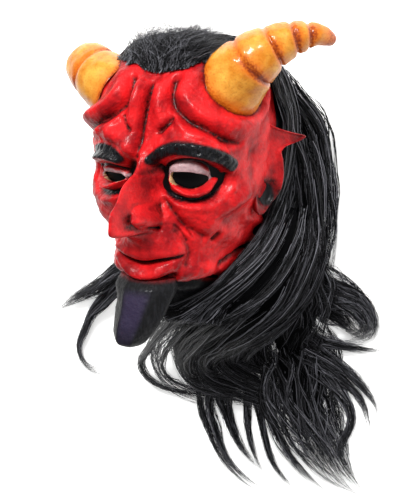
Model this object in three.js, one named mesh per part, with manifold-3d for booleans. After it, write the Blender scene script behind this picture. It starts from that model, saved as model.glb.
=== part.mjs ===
// Devil mask: a cast latex head with two set-in horns and a sewn wig, lying on its back.
// Millimetres. x runs across the face to the mask's own left, y from the chin to the crown,
// z up from the surface that the mask lies on, so the face looks up.
import * as THREE from 'three';
import { mergeVertices } from 'three/addons/utils/BufferGeometryUtils.js';
import Module from 'manifold-3d';

const wasm = await Module();
wasm.setup();

// Driving dimensions of the head
const NECK_RIM_Y = 4;
const HEAD_CENTRE_Z = 112;
const WALL = 3;
const GAP = 0.35;

// One row per section across the head: y, half width, front z, back z, squareness.
const HEAD_SECTIONS = [
  [NECK_RIM_Y, 50, 150, 30, 2.2],
  [28, 52, 156, 27, 2.2],
  [44, 56, 178, 24, 2.1],
  [57, 61, 200, 21, 2.1],
  [76, 66, 206, 17, 2.05],
  [110, 74, 204, 11, 2.2],
  [128, 77, 202, 9, 2.55],
  [148, 79, 199, 8, 2.85],
  [175, 80, 199, 10, 2.8],
  [200, 78, 195, 19, 2.6],
  [220, 72, 187, 36, 2.5],
  [238, 58, 172, 60, 2.4],
  [247, 36, 150, 84, 2.2],
  [250, 2, 122, 118, 2],
];

// Carving of the face. Each stroke follows points [x, y] on the head, mirrored to both sides,
// with its reach r and its height h over the head; "across" joins both sides in one line.
const STROKES = [
  { name: 'nose', across: true,
    at: [[0, 156], [0, 147], [0, 135], [0, 124], [0, 115], [0, 107], [0, 101], [0, 97]],
    r: [7, 8, 10, 12, 13, 13, 11, 8], h: [1, 8, 18, 33, 50, 51, 38, 16] },
  { name: 'nose side', at: [[6, 140], [11, 124], [13, 112]], r: [8, 11, 9], h: [3, 7, 8] },
  { name: 'nostril wing', at: [[15, 115], [19, 110], [16, 104]], r: 6.5, h: [8, 12, 8] },
  { name: 'nostril', at: [[8, 101], [15, 100]], r: 3, h: -8 },
  { name: 'wing groove', at: [[17, 124], [24, 116], [26, 107], [24, 99]], r: 3.5, h: -4 },
  { name: 'muzzle', across: true, at: [[-22, 86], [0, 92], [22, 86]], r: 17, h: 8 },
  { name: 'upper lip', across: true, at: [[-31, 79], [-15, 78], [0, 78], [15, 78], [31, 79]],
    r: 5, h: [1, 6, 8, 6, 1] },
  { name: 'mouth line', across: true, at: [[-35, 81], [-18, 73.5], [0, 70.5], [18, 73.5], [35, 81]],
    r: 2.4, h: [-4, -9, -10, -9, -4] },
  { name: 'lower lip', across: true, at: [[-27, 70], [-14, 64], [0, 62], [14, 64], [27, 70]],
    r: 6, h: [3, 9, 11, 9, 3] },
  { name: 'under lip', across: true, at: [[-26, 59], [0, 51], [26, 59]], r: 4.5, h: -5 },
  { name: 'smile fold', at: [[30, 98], [38, 88], [40, 76], [34, 65]], r: 5, h: -4 },
  { name: 'cheek fold', at: [[20, 121], [32, 110], [42, 99], [47, 91]], r: 4, h: -4 },
  { name: 'cheekbone', at: [[30, 122], [46, 117], [62, 124]], r: 12, h: [4, 8, 8] },
  { name: 'cheek', at: [[52, 100], [60, 84]], r: 12, h: 4 },
  { name: 'dimple', at: [[55, 93], [61, 99]], r: 4, h: -5 },
  { name: 'jaw', at: [[34, 60], [50, 58], [64, 72]], r: 10, h: [4, 6, 4] },
  { name: 'under jaw', at: [[18, 44], [38, 47], [52, 44], [60, 56]], r: 7, h: -7 },
  { name: 'socket', at: [[22, 142], [38, 142], [54, 141]], r: 13, h: -9 },
  { name: 'eyeball', at: [[36, 143]], r: 14, h: 11 },
  { name: 'lower lid', at: [[20, 142], [29, 134], [40, 130], [52, 133], [61, 144]], r: 3.6, h: 7 },
  { name: 'lid groove', at: [[15, 138], [26, 127], [42, 123.5], [57, 128], [67, 143]], r: 4, h: -6 },
  { name: 'brow bone', at: [[13, 163], [26, 170], [42, 172], [56, 168], [69, 158]],
    r: [7, 9, 8, 7, 5], h: [7, 11, 10, 8, 3] },
  { name: 'brow', at: [[12, 159], [24, 167], [38, 169], [54, 166], [68, 158]], r: 5, h: 4 },
  { name: 'nose root', across: true, at: [[-4, 156], [4, 156]], r: 6, h: -4 },
  { name: 'crease', across: true, at: [[0, 218], [0, 196], [0, 172]], r: 3.2, h: -7 },
  { name: 'crease roll', at: [[8, 216], [10, 194], [9, 176]], r: 7, h: 5 },
  { name: 'forehead groove', at: [[20, 220], [26, 204], [38, 191], [52, 183], [70, 175]], r: 4.5, h: -7 },
  { name: 'horn collar', at: [[33, 236], [31, 218], [40, 202], [56, 190], [74, 186]], r: 8, h: 8 },
  { name: 'frown', at: [[12, 185], [21, 190]], r: 3, h: -3 },
  { name: 'temple', at: [[76, 166]], r: 15, h: -5 },
];

// Eye openings, seen from the front
const EYE_OPENING = [
  [21, 143], [22, 148], [31, 150], [42, 149.5], [49, 147], [50, 142], [46, 137.5], [38, 135], [28, 138],
];

// Chin beard: y, centre z, half width, half depth of each section
const BEARD_SECTIONS = [
  [58, 190, 22, 14], [48, 192, 24, 19], [34, 195, 22.5, 20], [20, 197, 19.5, 19],
  [8, 199, 15, 16.5], [1, 200, 10, 11], [-1.5, 201, 4, 5],
];
const BEARD_GROOVES = 5;
const BEARD_GROOVE_DEPTH = 0.05;

// Ears: a leaf that leans out and back from the head. y, start and end along the leaf
const EAR_ROOT = new THREE.Vector3(73, 0, 127);
const EAR_ALONG = new THREE.Vector3(0.52, 0, -0.854);
const EAR_THICKNESS = 5;
const EAR_BOWL = { at: 12, y: 142, reach: 9, depth: 5 };
const EAR_OUTLINE = [
  [112, 0, 3], [118, -3, 10], [127, -4, 18], [138, -4, 24], [150, -4, 25], [158, -4, 23],
  [163, -4, 28], [167, -4, 44], [170, -4, 50], [174, -4, 36], [180, -4, 17], [187, -4, 4],
];

// Horns: middle line of the mask's left horn, and its half width at each ring groove. The right
// horn is the same, mirrored, turned down about its root, moved out and a little thinner.
const HORN_LINE = [
  [43, 206, 142], [57, 221, 150], [74, 239, 152], [92, 252, 144], [107, 259, 136], [120, 261, 127],
  [133, 255, 112],
];
const HORN_RINGS = [
  { at: 0, r: 30 }, { at: 0.17, r: 32 }, { at: 0.42, r: 23 }, { at: 0.6, r: 17 },
  { at: 0.74, r: 13 }, { at: 0.86, r: 10 }, { at: 1, r: 4 },
];
const HORN_SWELL = 0.1;
const HORN_SIDES = 12;
const RIGHT_HORN_AXIS = new THREE.Vector3(-0.6, 0.61, -0.53).normalize();
const RIGHT_HORN_DROOP = 0.7;
const RIGHT_HORN_SHIFT = new THREE.Vector3(11, -4, 0);
const RIGHT_HORN_GIRTH = 0.88;

// Wig: thickness over the head by angle round it (degrees from the front) and place along it
const WIG_FRONT_ANGLE = 82;
const WIG_THICKNESS = 8;
const WIG_CROWN_THICKNESS = 9;
const HAIRLINE_Y = 236;
const WIG_SINK = 6;
const WIG_STEP = 2;
const WIG_CLEARANCE = 1.8;

// Tresses: middle line, with width and thickness at root, middle and tip
const TRESSES = {
  crown: {
    at: [
      [-72, 224, 92], [-54, 238, 102], [-22, 249, 108], [12, 252, 108], [40, 245, 102],
      [60, 230, 92],
    ],
    width: [18, 22, 20],
    thick: [46, 76, 46],
  },
  side_fall: {
    at: [
      [58, 228, 72], [72, 208, 58], [83, 182, 40], [86, 150, 27], [88, 112, 19], [88, 76, 16],
      [86, 40, 14], [88, 8, 12], [100, -20, 9],
    ],
    width: [44, 40, 26],
    thick: [28, 30, 14],
  },
  far_side_fall: {
    at: [
      [-58, 228, 72], [-72, 208, 58], [-83, 182, 40], [-84, 140, 26], [-84, 90, 18], [-86, 40, 16],
      [-92, -2, 12],
    ],
    width: [44, 40, 30],
    thick: [28, 30, 18],
  },
  behind_ear: {
    at: [
      [78, 188, 84], [82, 152, 64], [82, 112, 50], [80, 72, 40], [74, 32, 32], [66, -6, 25],
      [60, -44, 18], [70, -80, 12], [92, -96, 7],
    ],
    width: [40, 60, 34],
    thick: [24, 32, 14],
  },
  far_behind_ear: {
    at: [
      [-78, 188, 84], [-82, 150, 62], [-80, 108, 46], [-76, 66, 34], [-74, 24, 26], [-84, -14, 16],
    ],
    width: [40, 50, 30],
    thick: [24, 30, 14],
  },
  nape: {
    at: [
      [8, 120, 8], [6, 60, 9], [4, 10, 9], [4, -35, 9], [12, -80, 8],
    ],
    width: [110, 124, 120],
    thick: [22, 26, 20],
  },
  pool: {
    at: [
      [34, -8, 16], [26, -48, 15], [24, -84, 11], [34, -118, 7],
    ],
    width: [130, 172, 120],
    thick: [34, 30, 12],
  },
  loop: {
    at: [
      [79, 128, 88], [76, 106, 106], [75, 86, 126], [72, 70, 148], [64, 54, 162], [50, 40, 170],
      [35, 28, 171], [20, 16, 168], [4, 2, 156], [-18, -18, 128], [-46, -44, 90], [-74, -70, 50],
      [-98, -96, 20], [-106, -121, 8], [-76, -131, 5], [-34, -131, 5], [18, -122, 5],
    ],
    width: [24, 40, 9],
    thick: [14, 18, 6],
  },
  inner_loop: {
    at: [
      [83, 122, 76], [82, 97, 92], [79, 72, 110], [72, 48, 128], [61, 27, 138], [50, 6, 124],
      [34, -18, 88], [12, -38, 52], [-14, -58, 28], [-34, -82, 16], [-34, -104, 12], [2, -112, 11],
      [44, -110, 9], [84, -102, 6],
    ],
    width: [28, 56, 26],
    thick: [16, 24, 10],
  },
  swirl: {
    at: [
      [86, 102, 64], [84, 73, 74], [82, 47, 78], [78, 20, 70], [68, -8, 52], [46, -36, 34],
      [28, -60, 22], [40, -86, 15], [76, -86, 10],
    ],
    width: [34, 60, 30],
    thick: [18, 32, 14],
  },
  near_drape: {
    at: [
      [86, 92, 50], [86, 56, 50], [84, 20, 46], [78, -14, 38], [66, -48, 26], [58, -80, 16],
    ],
    width: [30, 66, 50],
    thick: [16, 34, 16],
  },
  left_curl: {
    at: [
      [-82, 34, 22], [-110, 0, 20], [-142, -34, 14], [-168, -68, 9], [-184, -98, 6],
      [-178, -122, 4], [-154, -130, 3],
    ],
    width: [32, 20, 4],
    thick: [18, 12, 4],
  },
  left_lock: {
    at: [
      [-84, 46, 24], [-112, 18, 20], [-138, -8, 14], [-165, -28, 9], [-196, -46, 6],
      [-224, -61, 3],
    ],
    width: [30, 18, 4],
    thick: [16, 10, 4],
  },
  edge_lock: {
    at: [
      [60, -10, 18], [96, -24, 14], [124, -36, 9], [146, -45, 6], [165, -49, 3],
    ],
    width: [44, 20, 4],
    thick: [18, 10, 4],
  },
  outer_curl: {
    at: [
      [84, 30, 14], [102, 10, 13], [124, 7, 10], [142, 0, 8], [151, -18, 5], [147, -38, 3],
    ],
    width: [28, 16, 4],
    thick: [16, 9, 4],
  },
  right_lock: {
    at: [
      [70, -20, 22], [100, -50, 14], [122, -78, 9], [140, -104, 6], [155, -128, 4], [158, -150, 3],
    ],
    width: [50, 22, 4],
    thick: [20, 10, 4],
  },
  tail_1: {
    at: [
      [60, -60, 16], [74, -98, 12], [94, -134, 8], [124, -169, 5], [158, -195, 3],
    ],
    width: [90, 46, 5],
    thick: [20, 12, 4],
  },
  tail_2: {
    at: [
      [44, -76, 15], [54, -120, 11], [70, -160, 7], [90, -191, 4], [112, -210, 3],
    ],
    width: [60, 30, 4],
    thick: [18, 11, 4],
  },
  tail_3: {
    at: [
      [24, -80, 14], [20, -128, 10], [30, -170, 6], [44, -198, 4], [66, -212, 3],
    ],
    width: [40, 18, 4],
    thick: [18, 10, 4],
  },
  tail_4: {
    at: [
      [-30, -90, 13], [-40, -114, 11], [-38, -142, 8], [-28, -173, 6], [-8, -203, 4],
      [28, -218, 3],
    ],
    width: [44, 26, 4],
    thick: [16, 10, 4],
  },
};
const TRESS_STEP = 36;
const TRESS_SIDES = 6;

// Facet counts of the head
const ROWS = 34;
const INNER_STEP = 2;

const DEG = Math.PI / 180;

function clamp(value, low, high) {
  return Math.min(Math.max(value, low), high);
}

// Smooth value between listed ones that never overshoots them (monotone cubic).
function monotone(xs, ys) {
  const gap = xs.slice(1).map((x, i) => x - xs[i]);
  const rise = ys.slice(1).map((y, i) => (y - ys[i]) / gap[i]);
  const slope = ys.map((_, i) => {
    if (i === 0) return rise[0];
    if (i === ys.length - 1) return rise[i - 1];
    if (rise[i - 1] * rise[i] <= 0) return 0;
    return 2 / (1 / rise[i - 1] + 1 / rise[i]);
  });
  return (x) => {
    let i = 0;
    while (i < gap.length - 1 && x > xs[i + 1]) i += 1;
    const s = clamp((x - xs[i]) / gap[i], 0, 1);
    const a = ys[i] + s * gap[i] * slope[i];
    const b = ys[i + 1] - (1 - s) * gap[i] * slope[i + 1];
    const t = 1 - s;
    return t * t * (t + 3 * s) * ys[i] + s * s * (s + 3 * t) * ys[i + 1]
      + t * t * s * (a - ys[i]) + s * s * t * (b - ys[i + 1]);
  };
}

// Head without its carving: a point at an angle from the front and a run along the head.
const runs = HEAD_SECTIONS.reduce((list, row, i) => {
  const last = HEAD_SECTIONS[Math.max(i - 1, 0)];
  const step = Math.hypot(row[0] - last[0], row[1] - last[1], row[2] - last[2]);
  return [...list, (list.at(-1) ?? 0) + step];
}, []);
const RUN_END = runs.at(-1);
const section = [0, 1, 2, 3, 4].map((k) => monotone(runs, HEAD_SECTIONS.map((row) => row[k])));

function headPoint(angle, run) {
  const [y, halfWidth, front, back, square] = section.map((f) => f(run));
  const centre = clamp(HEAD_CENTRE_Z, back + 1, front - 1);
  const depth = Math.cos(angle) > 0 ? front - centre : centre - back;
  const sin = Math.abs(Math.sin(angle)) / halfWidth;
  const cos = Math.abs(Math.cos(angle)) / depth;
  const reach = (sin ** square + cos ** square) ** (-1 / square);
  return new THREE.Vector3(reach * Math.sin(angle), y, centre + reach * Math.cos(angle));
}

function headNormal(angle, run) {
  const small = 0.5;
  const low = Math.max(run - small, 0);
  const high = Math.min(run + small, RUN_END - 0.01);
  const along = headPoint(angle, high).sub(headPoint(angle, low));
  const around = headPoint(angle + small * DEG, run).sub(headPoint(angle - small * DEG, run));
  return along.cross(around).normalize().negate();
}

// Run along the head whose front has this y.
function runAt(y) {
  let low = 0;
  let high = RUN_END;
  for (let i = 0; i < 40; i += 1) {
    const middle = (low + high) / 2;
    if (section[0](middle) < y) low = middle;
    else high = middle;
  }
  return (low + high) / 2;
}

// Point of the head in front of [x, y].
function onHead([x, y]) {
  const run = runAt(y);
  let low = 0;
  let high = 100 * DEG;
  for (let i = 0; i < 40; i += 1) {
    const middle = (low + high) / 2;
    if (headPoint(middle, run).x < Math.abs(x)) low = middle;
    else high = middle;
  }
  const point = headPoint((low + high) / 2, run);
  return point.setX(point.x * Math.sign(x));
}

function spread(value, count) {
  return Array.isArray(value) ? value : Array(count).fill(value);
}

const strokes = STROKES.flatMap((stroke) => {
  const points = stroke.at.map(onHead);
  const one = {
    points,
    reach: spread(stroke.r, points.length),
    height: spread(stroke.h, points.length),
  };
  if (stroke.across) return [one];
  const mirrored = points.map((p) => new THREE.Vector3(-p.x, p.y, p.z));
  return [one, { ...one, points: mirrored }];
});

// Height that a stroke adds at a point of the head.
function strokeHeight(stroke, point) {
  let best = { far: Infinity, reach: 1, height: 0 };
  const { points, reach, height } = stroke;
  for (let i = 0; i < Math.max(points.length - 1, 1); i += 1) {
    const a = points[i];
    const b = points[Math.min(i + 1, points.length - 1)];
    const line = b.clone().sub(a);
    const t = clamp(point.clone().sub(a).dot(line) / Math.max(line.lengthSq(), 1e-6), 0, 1);
    const far = point.distanceTo(a.clone().addScaledVector(line, t));
    if (far < best.far) {
      const j = Math.min(i + 1, points.length - 1);
      best = {
        far,
        reach: reach[i] + (reach[j] - reach[i]) * t,
        height: height[i] + (height[j] - height[i]) * t,
      };
    }
  }
  return best.height * Math.exp(-((best.far / best.reach) ** 2));
}

function carving(point) {
  return strokes.reduce((sum, stroke) => sum + strokeHeight(stroke, point), 0);
}

// Closed solids
function toManifold(geometry) {
  const bare = geometry.clone();
  bare.deleteAttribute('normal');
  bare.deleteAttribute('uv');
  const merged = mergeVertices(bare, 1e-4);
  return new wasm.Manifold(new wasm.Mesh({
    numProp: 3,
    vertProperties: new Float32Array(merged.attributes.position.array),
    triVerts: new Uint32Array(merged.index.array),
  }));
}

// A closed skin over rings of equally many points, with a fan over each end.
function loft(rings) {
  const sides = rings[0].length;
  const points = rings.flat();
  const ends = [rings[0], rings.at(-1)].map((ring) =>
    ring.reduce((sum, p) => sum.add(p), new THREE.Vector3()).divideScalar(sides));
  const [first, last] = [points.length, points.length + 1];
  points.push(...ends);
  const faces = [];
  for (let j = 0; j < rings.length - 1; j += 1) {
    for (let i = 0; i < sides; i += 1) {
      const a = j * sides + i;
      const b = j * sides + ((i + 1) % sides);
      const [c, d] = [b + sides, a + sides];
      if (points[a].distanceTo(points[c]) <= points[b].distanceTo(points[d])) {
        faces.push([a, b, c], [a, c, d]);
      } else {
        faces.push([a, b, d], [b, c, d]);
      }
    }
  }
  const top = (rings.length - 1) * sides;
  for (let i = 0; i < sides; i += 1) {
    const next = (i + 1) % sides;
    faces.push([first, next, i], [last, top + i, top + next]);
  }
  const volume = faces.reduce((sum, [a, b, c]) =>
    sum + points[a].dot(points[b].clone().cross(points[c])), 0);
  const index = faces.flatMap(([a, b, c]) => (volume > 0 ? [a, b, c] : [a, c, b]));
  const geometry = new THREE.BufferGeometry();
  geometry.setAttribute('position', new THREE.Float32BufferAttribute(points.flatMap((p) => p.toArray()), 3));
  geometry.setIndex(index);
  return toManifold(geometry);
}

// Facet lines round the head: close together over the face, wide apart behind.
function columnAngles() {
  const list = [0];
  while (list.at(-1) < 162) {
    const angle = list.at(-1);
    const step = angle < 12 ? 3 : angle < 44 ? 4 : angle < 96 ? 6.5 : 17;
    list.push(angle + step);
  }
  list[list.length - 1] = 180;
  const left = list.slice(1, -1).reverse().map((a) => -a);
  return [...left, ...list].map((a) => a * DEG);
}

function rowRuns() {
  const eyes = runAt(140);
  const density = (run) => 1 + 1.1 * Math.exp(-(((run - eyes) / 70) ** 2));
  const total = [0];
  const fine = 400;
  for (let i = 1; i <= fine; i += 1) total.push(total[i - 1] + density((i / fine) * RUN_END));
  return Array.from({ length: ROWS + 1 }, (_, k) => {
    const wanted = (k / ROWS) * total[fine];
    const i = total.findIndex((value) => value >= wanted - 1e-9);
    return Math.min((i / fine) * RUN_END, RUN_END - 0.4);
  });
}

const COLUMNS = columnAngles();
const RUNS = rowRuns();
const grid = RUNS.map((run, j) => COLUMNS.map((angle) => {
  const base = headPoint(angle, run);
  const normal = headNormal(angle, run);
  if (j === 0) normal.setY(0).normalize();
  return { base, normal, height: carving(base) };
}));

// Outer head, grown by an amount so that neighbours can be cut clear of it.
function outerHead(grow) {
  return loft(grid.map((row) => row.map(({ base, normal, height }) =>
    base.clone().addScaledVector(normal, height + grow))));
}

// Rows and columns that are enough under and in the wig, where no carving shows.
const WIG_ROWS = RUNS.map((_, j) => j).filter((j) => j % WIG_STEP === 0);
const WIG_COLUMNS = COLUMNS.map((_, i) => i)
  .filter((i) => Math.abs(COLUMNS[i]) > WIG_FRONT_ANGLE * DEG || i % WIG_STEP === 0);

function wigLayer(thickness) {
  return loft(WIG_ROWS.map((j) => WIG_COLUMNS.map((i) => {
    const { base, normal, height } = grid[j][i];
    return base.clone().addScaledVector(normal, thickness(base, Math.abs(COLUMNS[i]) / DEG, height));
  })));
}

// Hollow of the head: coarser, and always at least a wall inside the lowest carving near it.
function headHollow() {
  const count = COLUMNS.length;
  const rows = RUNS.map((_, j) => j).filter((j) => j % INNER_STEP === 0);
  const columns = COLUMNS.map((_, i) => i).filter((i) => i % INNER_STEP === 0);
  const rings = rows.map((j) => columns.map((i) => {
    let low = Infinity;
    for (let dj = -INNER_STEP; dj <= INNER_STEP; dj += 1) {
      for (let di = -INNER_STEP; di <= INNER_STEP; di += 1) {
        const row = grid[clamp(j + dj, 0, RUNS.length - 1)];
        low = Math.min(low, row[(i + di + count) % count].height);
      }
    }
    const { base, normal } = grid[j][i];
    return base.clone().addScaledVector(normal, low - WALL);
  }));
  const below = rings[0].map((p) => p.clone().setY(NECK_RIM_Y - 2 * WALL));
  return loft([below, ...rings]);
}

function beard(grow) {
  const sides = 4 * BEARD_GROOVES;
  return loft(BEARD_SECTIONS.map(([y, z, halfWidth, halfDepth]) =>
    Array.from({ length: sides }, (_, i) => {
      const angle = (i / sides) * 2 * Math.PI;
      const groove = 1 + BEARD_GROOVE_DEPTH * Math.cos(angle * 2 * BEARD_GROOVES);
      return new THREE.Vector3((halfWidth * groove + grow) * Math.sin(angle), y - grow,
        z + (halfDepth * groove + grow) * Math.cos(angle));
    })));
}

function ear(side, grow) {
  const steps = 5;
  const facing = new THREE.Vector3().crossVectors(EAR_ALONG, new THREE.Vector3(0, 1, 0)).normalize();
  const rings = EAR_OUTLINE.map(([y, start, end]) => {
    const front = [];
    const back = [];
    for (let i = 0; i <= steps; i += 1) {
      const along = start - grow + (end - start + 2 * grow) * (i / steps);
      const rim = Math.sin((i / steps) * Math.PI) * 2;
      const away = Math.hypot(along - EAR_BOWL.at, y - EAR_BOWL.y) / EAR_BOWL.reach;
      const bowl = EAR_BOWL.depth * Math.exp(-(away ** 2));
      const place = EAR_ROOT.clone().setY(y).addScaledVector(EAR_ALONG, along);
      front.push(place.clone().addScaledVector(facing, EAR_THICKNESS / 2 + rim - bowl + grow));
      back.push(place.clone().addScaledVector(facing, -EAR_THICKNESS / 2 - rim / 2 - bowl - grow));
    }
    return [...front, ...back.reverse()];
  });
  rings.forEach((ring) => ring.forEach((p) => p.setX(p.x * side)));
  return loft(rings);
}

function eyeOpening(side) {
  const shape = new THREE.Shape(EYE_OPENING.map(([x, y]) => new THREE.Vector2(x * side, y)));
  const cutter = new THREE.ExtrudeGeometry(shape, { depth: 100, bevelEnabled: false });
  cutter.translate(0, 0, HEAD_CENTRE_Z + 20);
  return toManifold(cutter);
}

// Horn: ringed tube whose girth swells between the grooves.
function hornSections() {
  const list = [];
  HORN_RINGS.slice(0, -1).forEach((ring, k) => {
    const next = HORN_RINGS[k + 1];
    [0, 0.3, 0.7].forEach((t) => {
      const swell = t === 0 ? 1 : 1 + HORN_SWELL * Math.sin(t * Math.PI) ** 0.6;
      list.push({ at: ring.at + (next.at - ring.at) * t, r: (ring.r + (next.r - ring.r) * t) * swell });
    });
  });
  list.push(HORN_RINGS.at(-1));
  return list;
}

function horn(side, grow) {
  const base = new THREE.Vector3(...HORN_LINE[1]);
  const line = HORN_LINE.map((p) => new THREE.Vector3(...p));
  if (side < 0) {
    line.forEach((p) => p.sub(base).applyAxisAngle(RIGHT_HORN_AXIS, RIGHT_HORN_DROOP).add(base));
    line.forEach((p) => p.add(RIGHT_HORN_SHIFT));
  }
  const curve = new THREE.CatmullRomCurve3(line);
  const sections = hornSections();
  const girth = side < 0 ? RIGHT_HORN_GIRTH : 1;
  const rings = sections.map(({ at, r }) => {
    const centre = curve.getPointAt(at);
    const tangent = curve.getTangentAt(at);
    centre.addScaledVector(tangent, at === 0 ? -grow : 0);
    const across = new THREE.Vector3(0, 0, 1).cross(tangent).normalize();
    const over = tangent.clone().cross(across);
    return Array.from({ length: HORN_SIDES }, (_, i) => {
      const angle = (i / HORN_SIDES) * 2 * Math.PI;
      return centre.clone()
        .addScaledVector(across, (r * girth + grow) * Math.cos(angle))
        .addScaledVector(over, (r * girth + grow) * Math.sin(angle));
    });
  });
  rings.forEach((ring) => ring.forEach((p) => p.setX(p.x * side)));
  return loft(rings);
}

// Wig over the crown, the back and the sides: thickest behind, run out to nothing at the hairline.
function wigCap() {
  return wigLayer((base, angle, height) => {
    const behind = THREE.MathUtils.smoothstep(angle, WIG_FRONT_ANGLE - 6, WIG_FRONT_ANGLE + 26);
    const crown = THREE.MathUtils.smoothstep(base.y, HAIRLINE_Y - 4, HAIRLINE_Y + 9);
    const cover = Math.max(behind, crown);
    const full = WIG_THICKNESS + (WIG_CROWN_THICKNESS - WIG_THICKNESS) * crown;
    return THREE.MathUtils.lerp(Math.min(height, 0) - WIG_SINK, full, cover);
  });
}

function tress({ at, width, thick }) {
  const curve = new THREE.CatmullRomCurve3(at.map((p) => new THREE.Vector3(...p)), false, 'centripetal');
  const steps = Math.max(6, Math.round(curve.getLength() / TRESS_STEP));
  const rings = Array.from({ length: steps + 1 }, (_, k) => {
    const t = k / steps;
    const centre = curve.getPointAt(t);
    const tangent = curve.getTangentAt(t);
    const outward = new THREE.Vector3(centre.x * 0.4, 0, 60).normalize();
    const across = outward.clone().cross(tangent).normalize();
    const over = tangent.clone().cross(across);
    const pick = ([root, middle, tip]) => (t < 0.5
      ? THREE.MathUtils.lerp(root, middle, t * 2) : THREE.MathUtils.lerp(middle, tip, t * 2 - 1));
    return Array.from({ length: TRESS_SIDES }, (_, i) => {
      const angle = ((i + 0.5) / TRESS_SIDES) * 2 * Math.PI;
      return centre.clone()
        .addScaledVector(across, (pick(width) / 2) * Math.cos(angle))
        .addScaledVector(over, (pick(thick) / 2) * Math.sin(angle));
    });
  });
  return loft(rings);
}

// The wig is cut flat where it lies on the surface.
function belowSurface() {
  const block = new THREE.BoxGeometry(700, 800, 60);
  block.translate(0, 0, -30);
  return toManifold(block);
}

const whole = (grow) => outerHead(grow).add(ear(1, grow)).add(ear(-1, grow));
const headSolid = whole(0).add(beard(0));
const grownHead = whole(GAP).add(beard(GAP));
const skin = headSolid.subtract(headHollow()).subtract(eyeOpening(1)).subtract(eyeOpening(-1));
const leftHorn = horn(1, 0).subtract(grownHead);
const rightHorn = horn(-1, 0).subtract(grownHead);
const underWig = wigLayer((base, angle, height) => height + WIG_CLEARANCE)
  .add(ear(1, GAP)).add(ear(-1, GAP)).add(beard(GAP));
const wig = Object.values(TRESSES).map(tress).reduce((sum, one) => sum.add(one), wigCap())
  .subtract(underWig).subtract(grownHead).subtract(horn(1, WIG_CLEARANCE)).subtract(horn(-1, WIG_CLEARANCE))
  .subtract(belowSurface());

function toMesh(name, solid, look) {
  const { vertProperties, triVerts, numProp } = solid.getMesh();
  const position = [];
  for (let i = 0; i < vertProperties.length; i += numProp) {
    position.push(vertProperties[i], vertProperties[i + 1], vertProperties[i + 2]);
  }
  const geometry = new THREE.BufferGeometry();
  geometry.setAttribute('position', new THREE.Float32BufferAttribute(position, 3));
  geometry.setIndex([...triVerts]);
  geometry.computeVertexNormals();
  const mesh = new THREE.Mesh(geometry, new THREE.MeshStandardMaterial(look));
  mesh.name = name;
  return mesh;
}

const LATEX = { color: 0xc81e22, roughness: 0.35, metalness: 0 };
const HORN = { color: 0xe8a63a, roughness: 0.35, metalness: 0 };
const HAIR = { color: 0x16161a, roughness: 0.5, metalness: 0 };

const group = new THREE.Group();
group.name = 'devil_mask';
group.add(toMesh('mask_skin', skin, LATEX));
group.add(toMesh('left_horn', leftHorn, HORN));
group.add(toMesh('right_horn', rightHorn, HORN));
group.add(toMesh('hair', wig, HAIR));

export default group;
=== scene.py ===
"""Dresses the devil mask: a glossy red latex head with two ringed horns and a long black wig.

All tables and functions work in millimetres; metres appear only where a mesh is handed to
Blender. x runs across the face to the mask's own left, y from the chin to the crown, and z up
from the surface that the mask lies on, so the face looks up.
"""
import logging
import math
from dataclasses import dataclass, field
from enum import Enum
from functools import partial
from typing import Sequence

import bpy
import numpy as np
from mathutils import Matrix, Vector
from mathutils.kdtree import KDTree


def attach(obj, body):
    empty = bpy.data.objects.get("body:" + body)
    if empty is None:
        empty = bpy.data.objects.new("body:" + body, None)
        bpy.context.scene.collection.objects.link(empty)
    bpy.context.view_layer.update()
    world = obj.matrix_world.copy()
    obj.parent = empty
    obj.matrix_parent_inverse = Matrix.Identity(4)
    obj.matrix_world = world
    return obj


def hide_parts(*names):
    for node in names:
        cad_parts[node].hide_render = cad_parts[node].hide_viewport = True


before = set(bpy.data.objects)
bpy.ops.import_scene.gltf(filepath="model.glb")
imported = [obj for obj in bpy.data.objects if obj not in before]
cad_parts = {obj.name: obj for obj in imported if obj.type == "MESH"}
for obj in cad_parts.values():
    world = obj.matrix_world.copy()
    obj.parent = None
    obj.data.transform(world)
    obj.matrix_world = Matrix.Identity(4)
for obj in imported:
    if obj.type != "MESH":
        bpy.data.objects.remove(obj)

Array = np.ndarray
LOG = logging.getLogger("devil_mask")
MM = 0.001

NECK_RIM_Y = 4.0
CROWN_Y = 250.0
HEAD_CENTRE_Z = 112.0
# Head: y, half width, front z, back z, squareness
HEAD_SECTIONS = (
    (NECK_RIM_Y, 50, 150, 30, 2.2),
    (28, 50, 156, 27, 2.2),
    (44, 52, 178, 24, 2.1),
    (57, 54, 200, 21, 2.1),
    (76, 58, 206, 17, 2.05),
    (110, 69, 204, 11, 2.2),
    (128, 75, 202, 9, 2.55),
    (148, 78, 199, 8, 2.8),
    (175, 80, 199, 10, 2.8),
    (200, 78, 195, 19, 2.6),
    (220, 72, 187, 36, 2.5),
    (238, 58, 172, 60, 2.4),
    (247, 36, 150, 84, 2.2),
    (CROWN_Y, 2, 122, 118, 2),
)


class Paint(Enum):
    """What a stroke carries besides its relief."""

    NONE = "none"
    BLACK = "black"
    # a dark wash in a crease or pit, which also paints its shade
    WASH_AND_SHADE = "wash"


@dataclass(frozen=True)
class Stroke:
    """One raised or carved line of the face.

    Args:
        name: what the line is; not used.
        at: points (x, y) on the head, seen from the front.
        reach: half width of the line, one value or one per point.
        height: height over the head, one value or one per point.
        across: True where one line joins both sides, False where each side has its own.
        crisp: 2 for a soft round line, more for a flat one with sharp edges.
        paint: what is painted along the line.
        paint_reach: half width of the paint.
        cover: share of the paint that hides the red.
    """

    name: str
    at: tuple
    reach: float | tuple
    height: float | tuple
    across: bool = False
    crisp: float = 2.0
    paint: Paint = Paint.NONE
    paint_reach: float = 0.0
    cover: float = 1.0


# Washed strokes lie in creases, grooves and pits: their dark wash is painted shade as well as paint.
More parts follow.
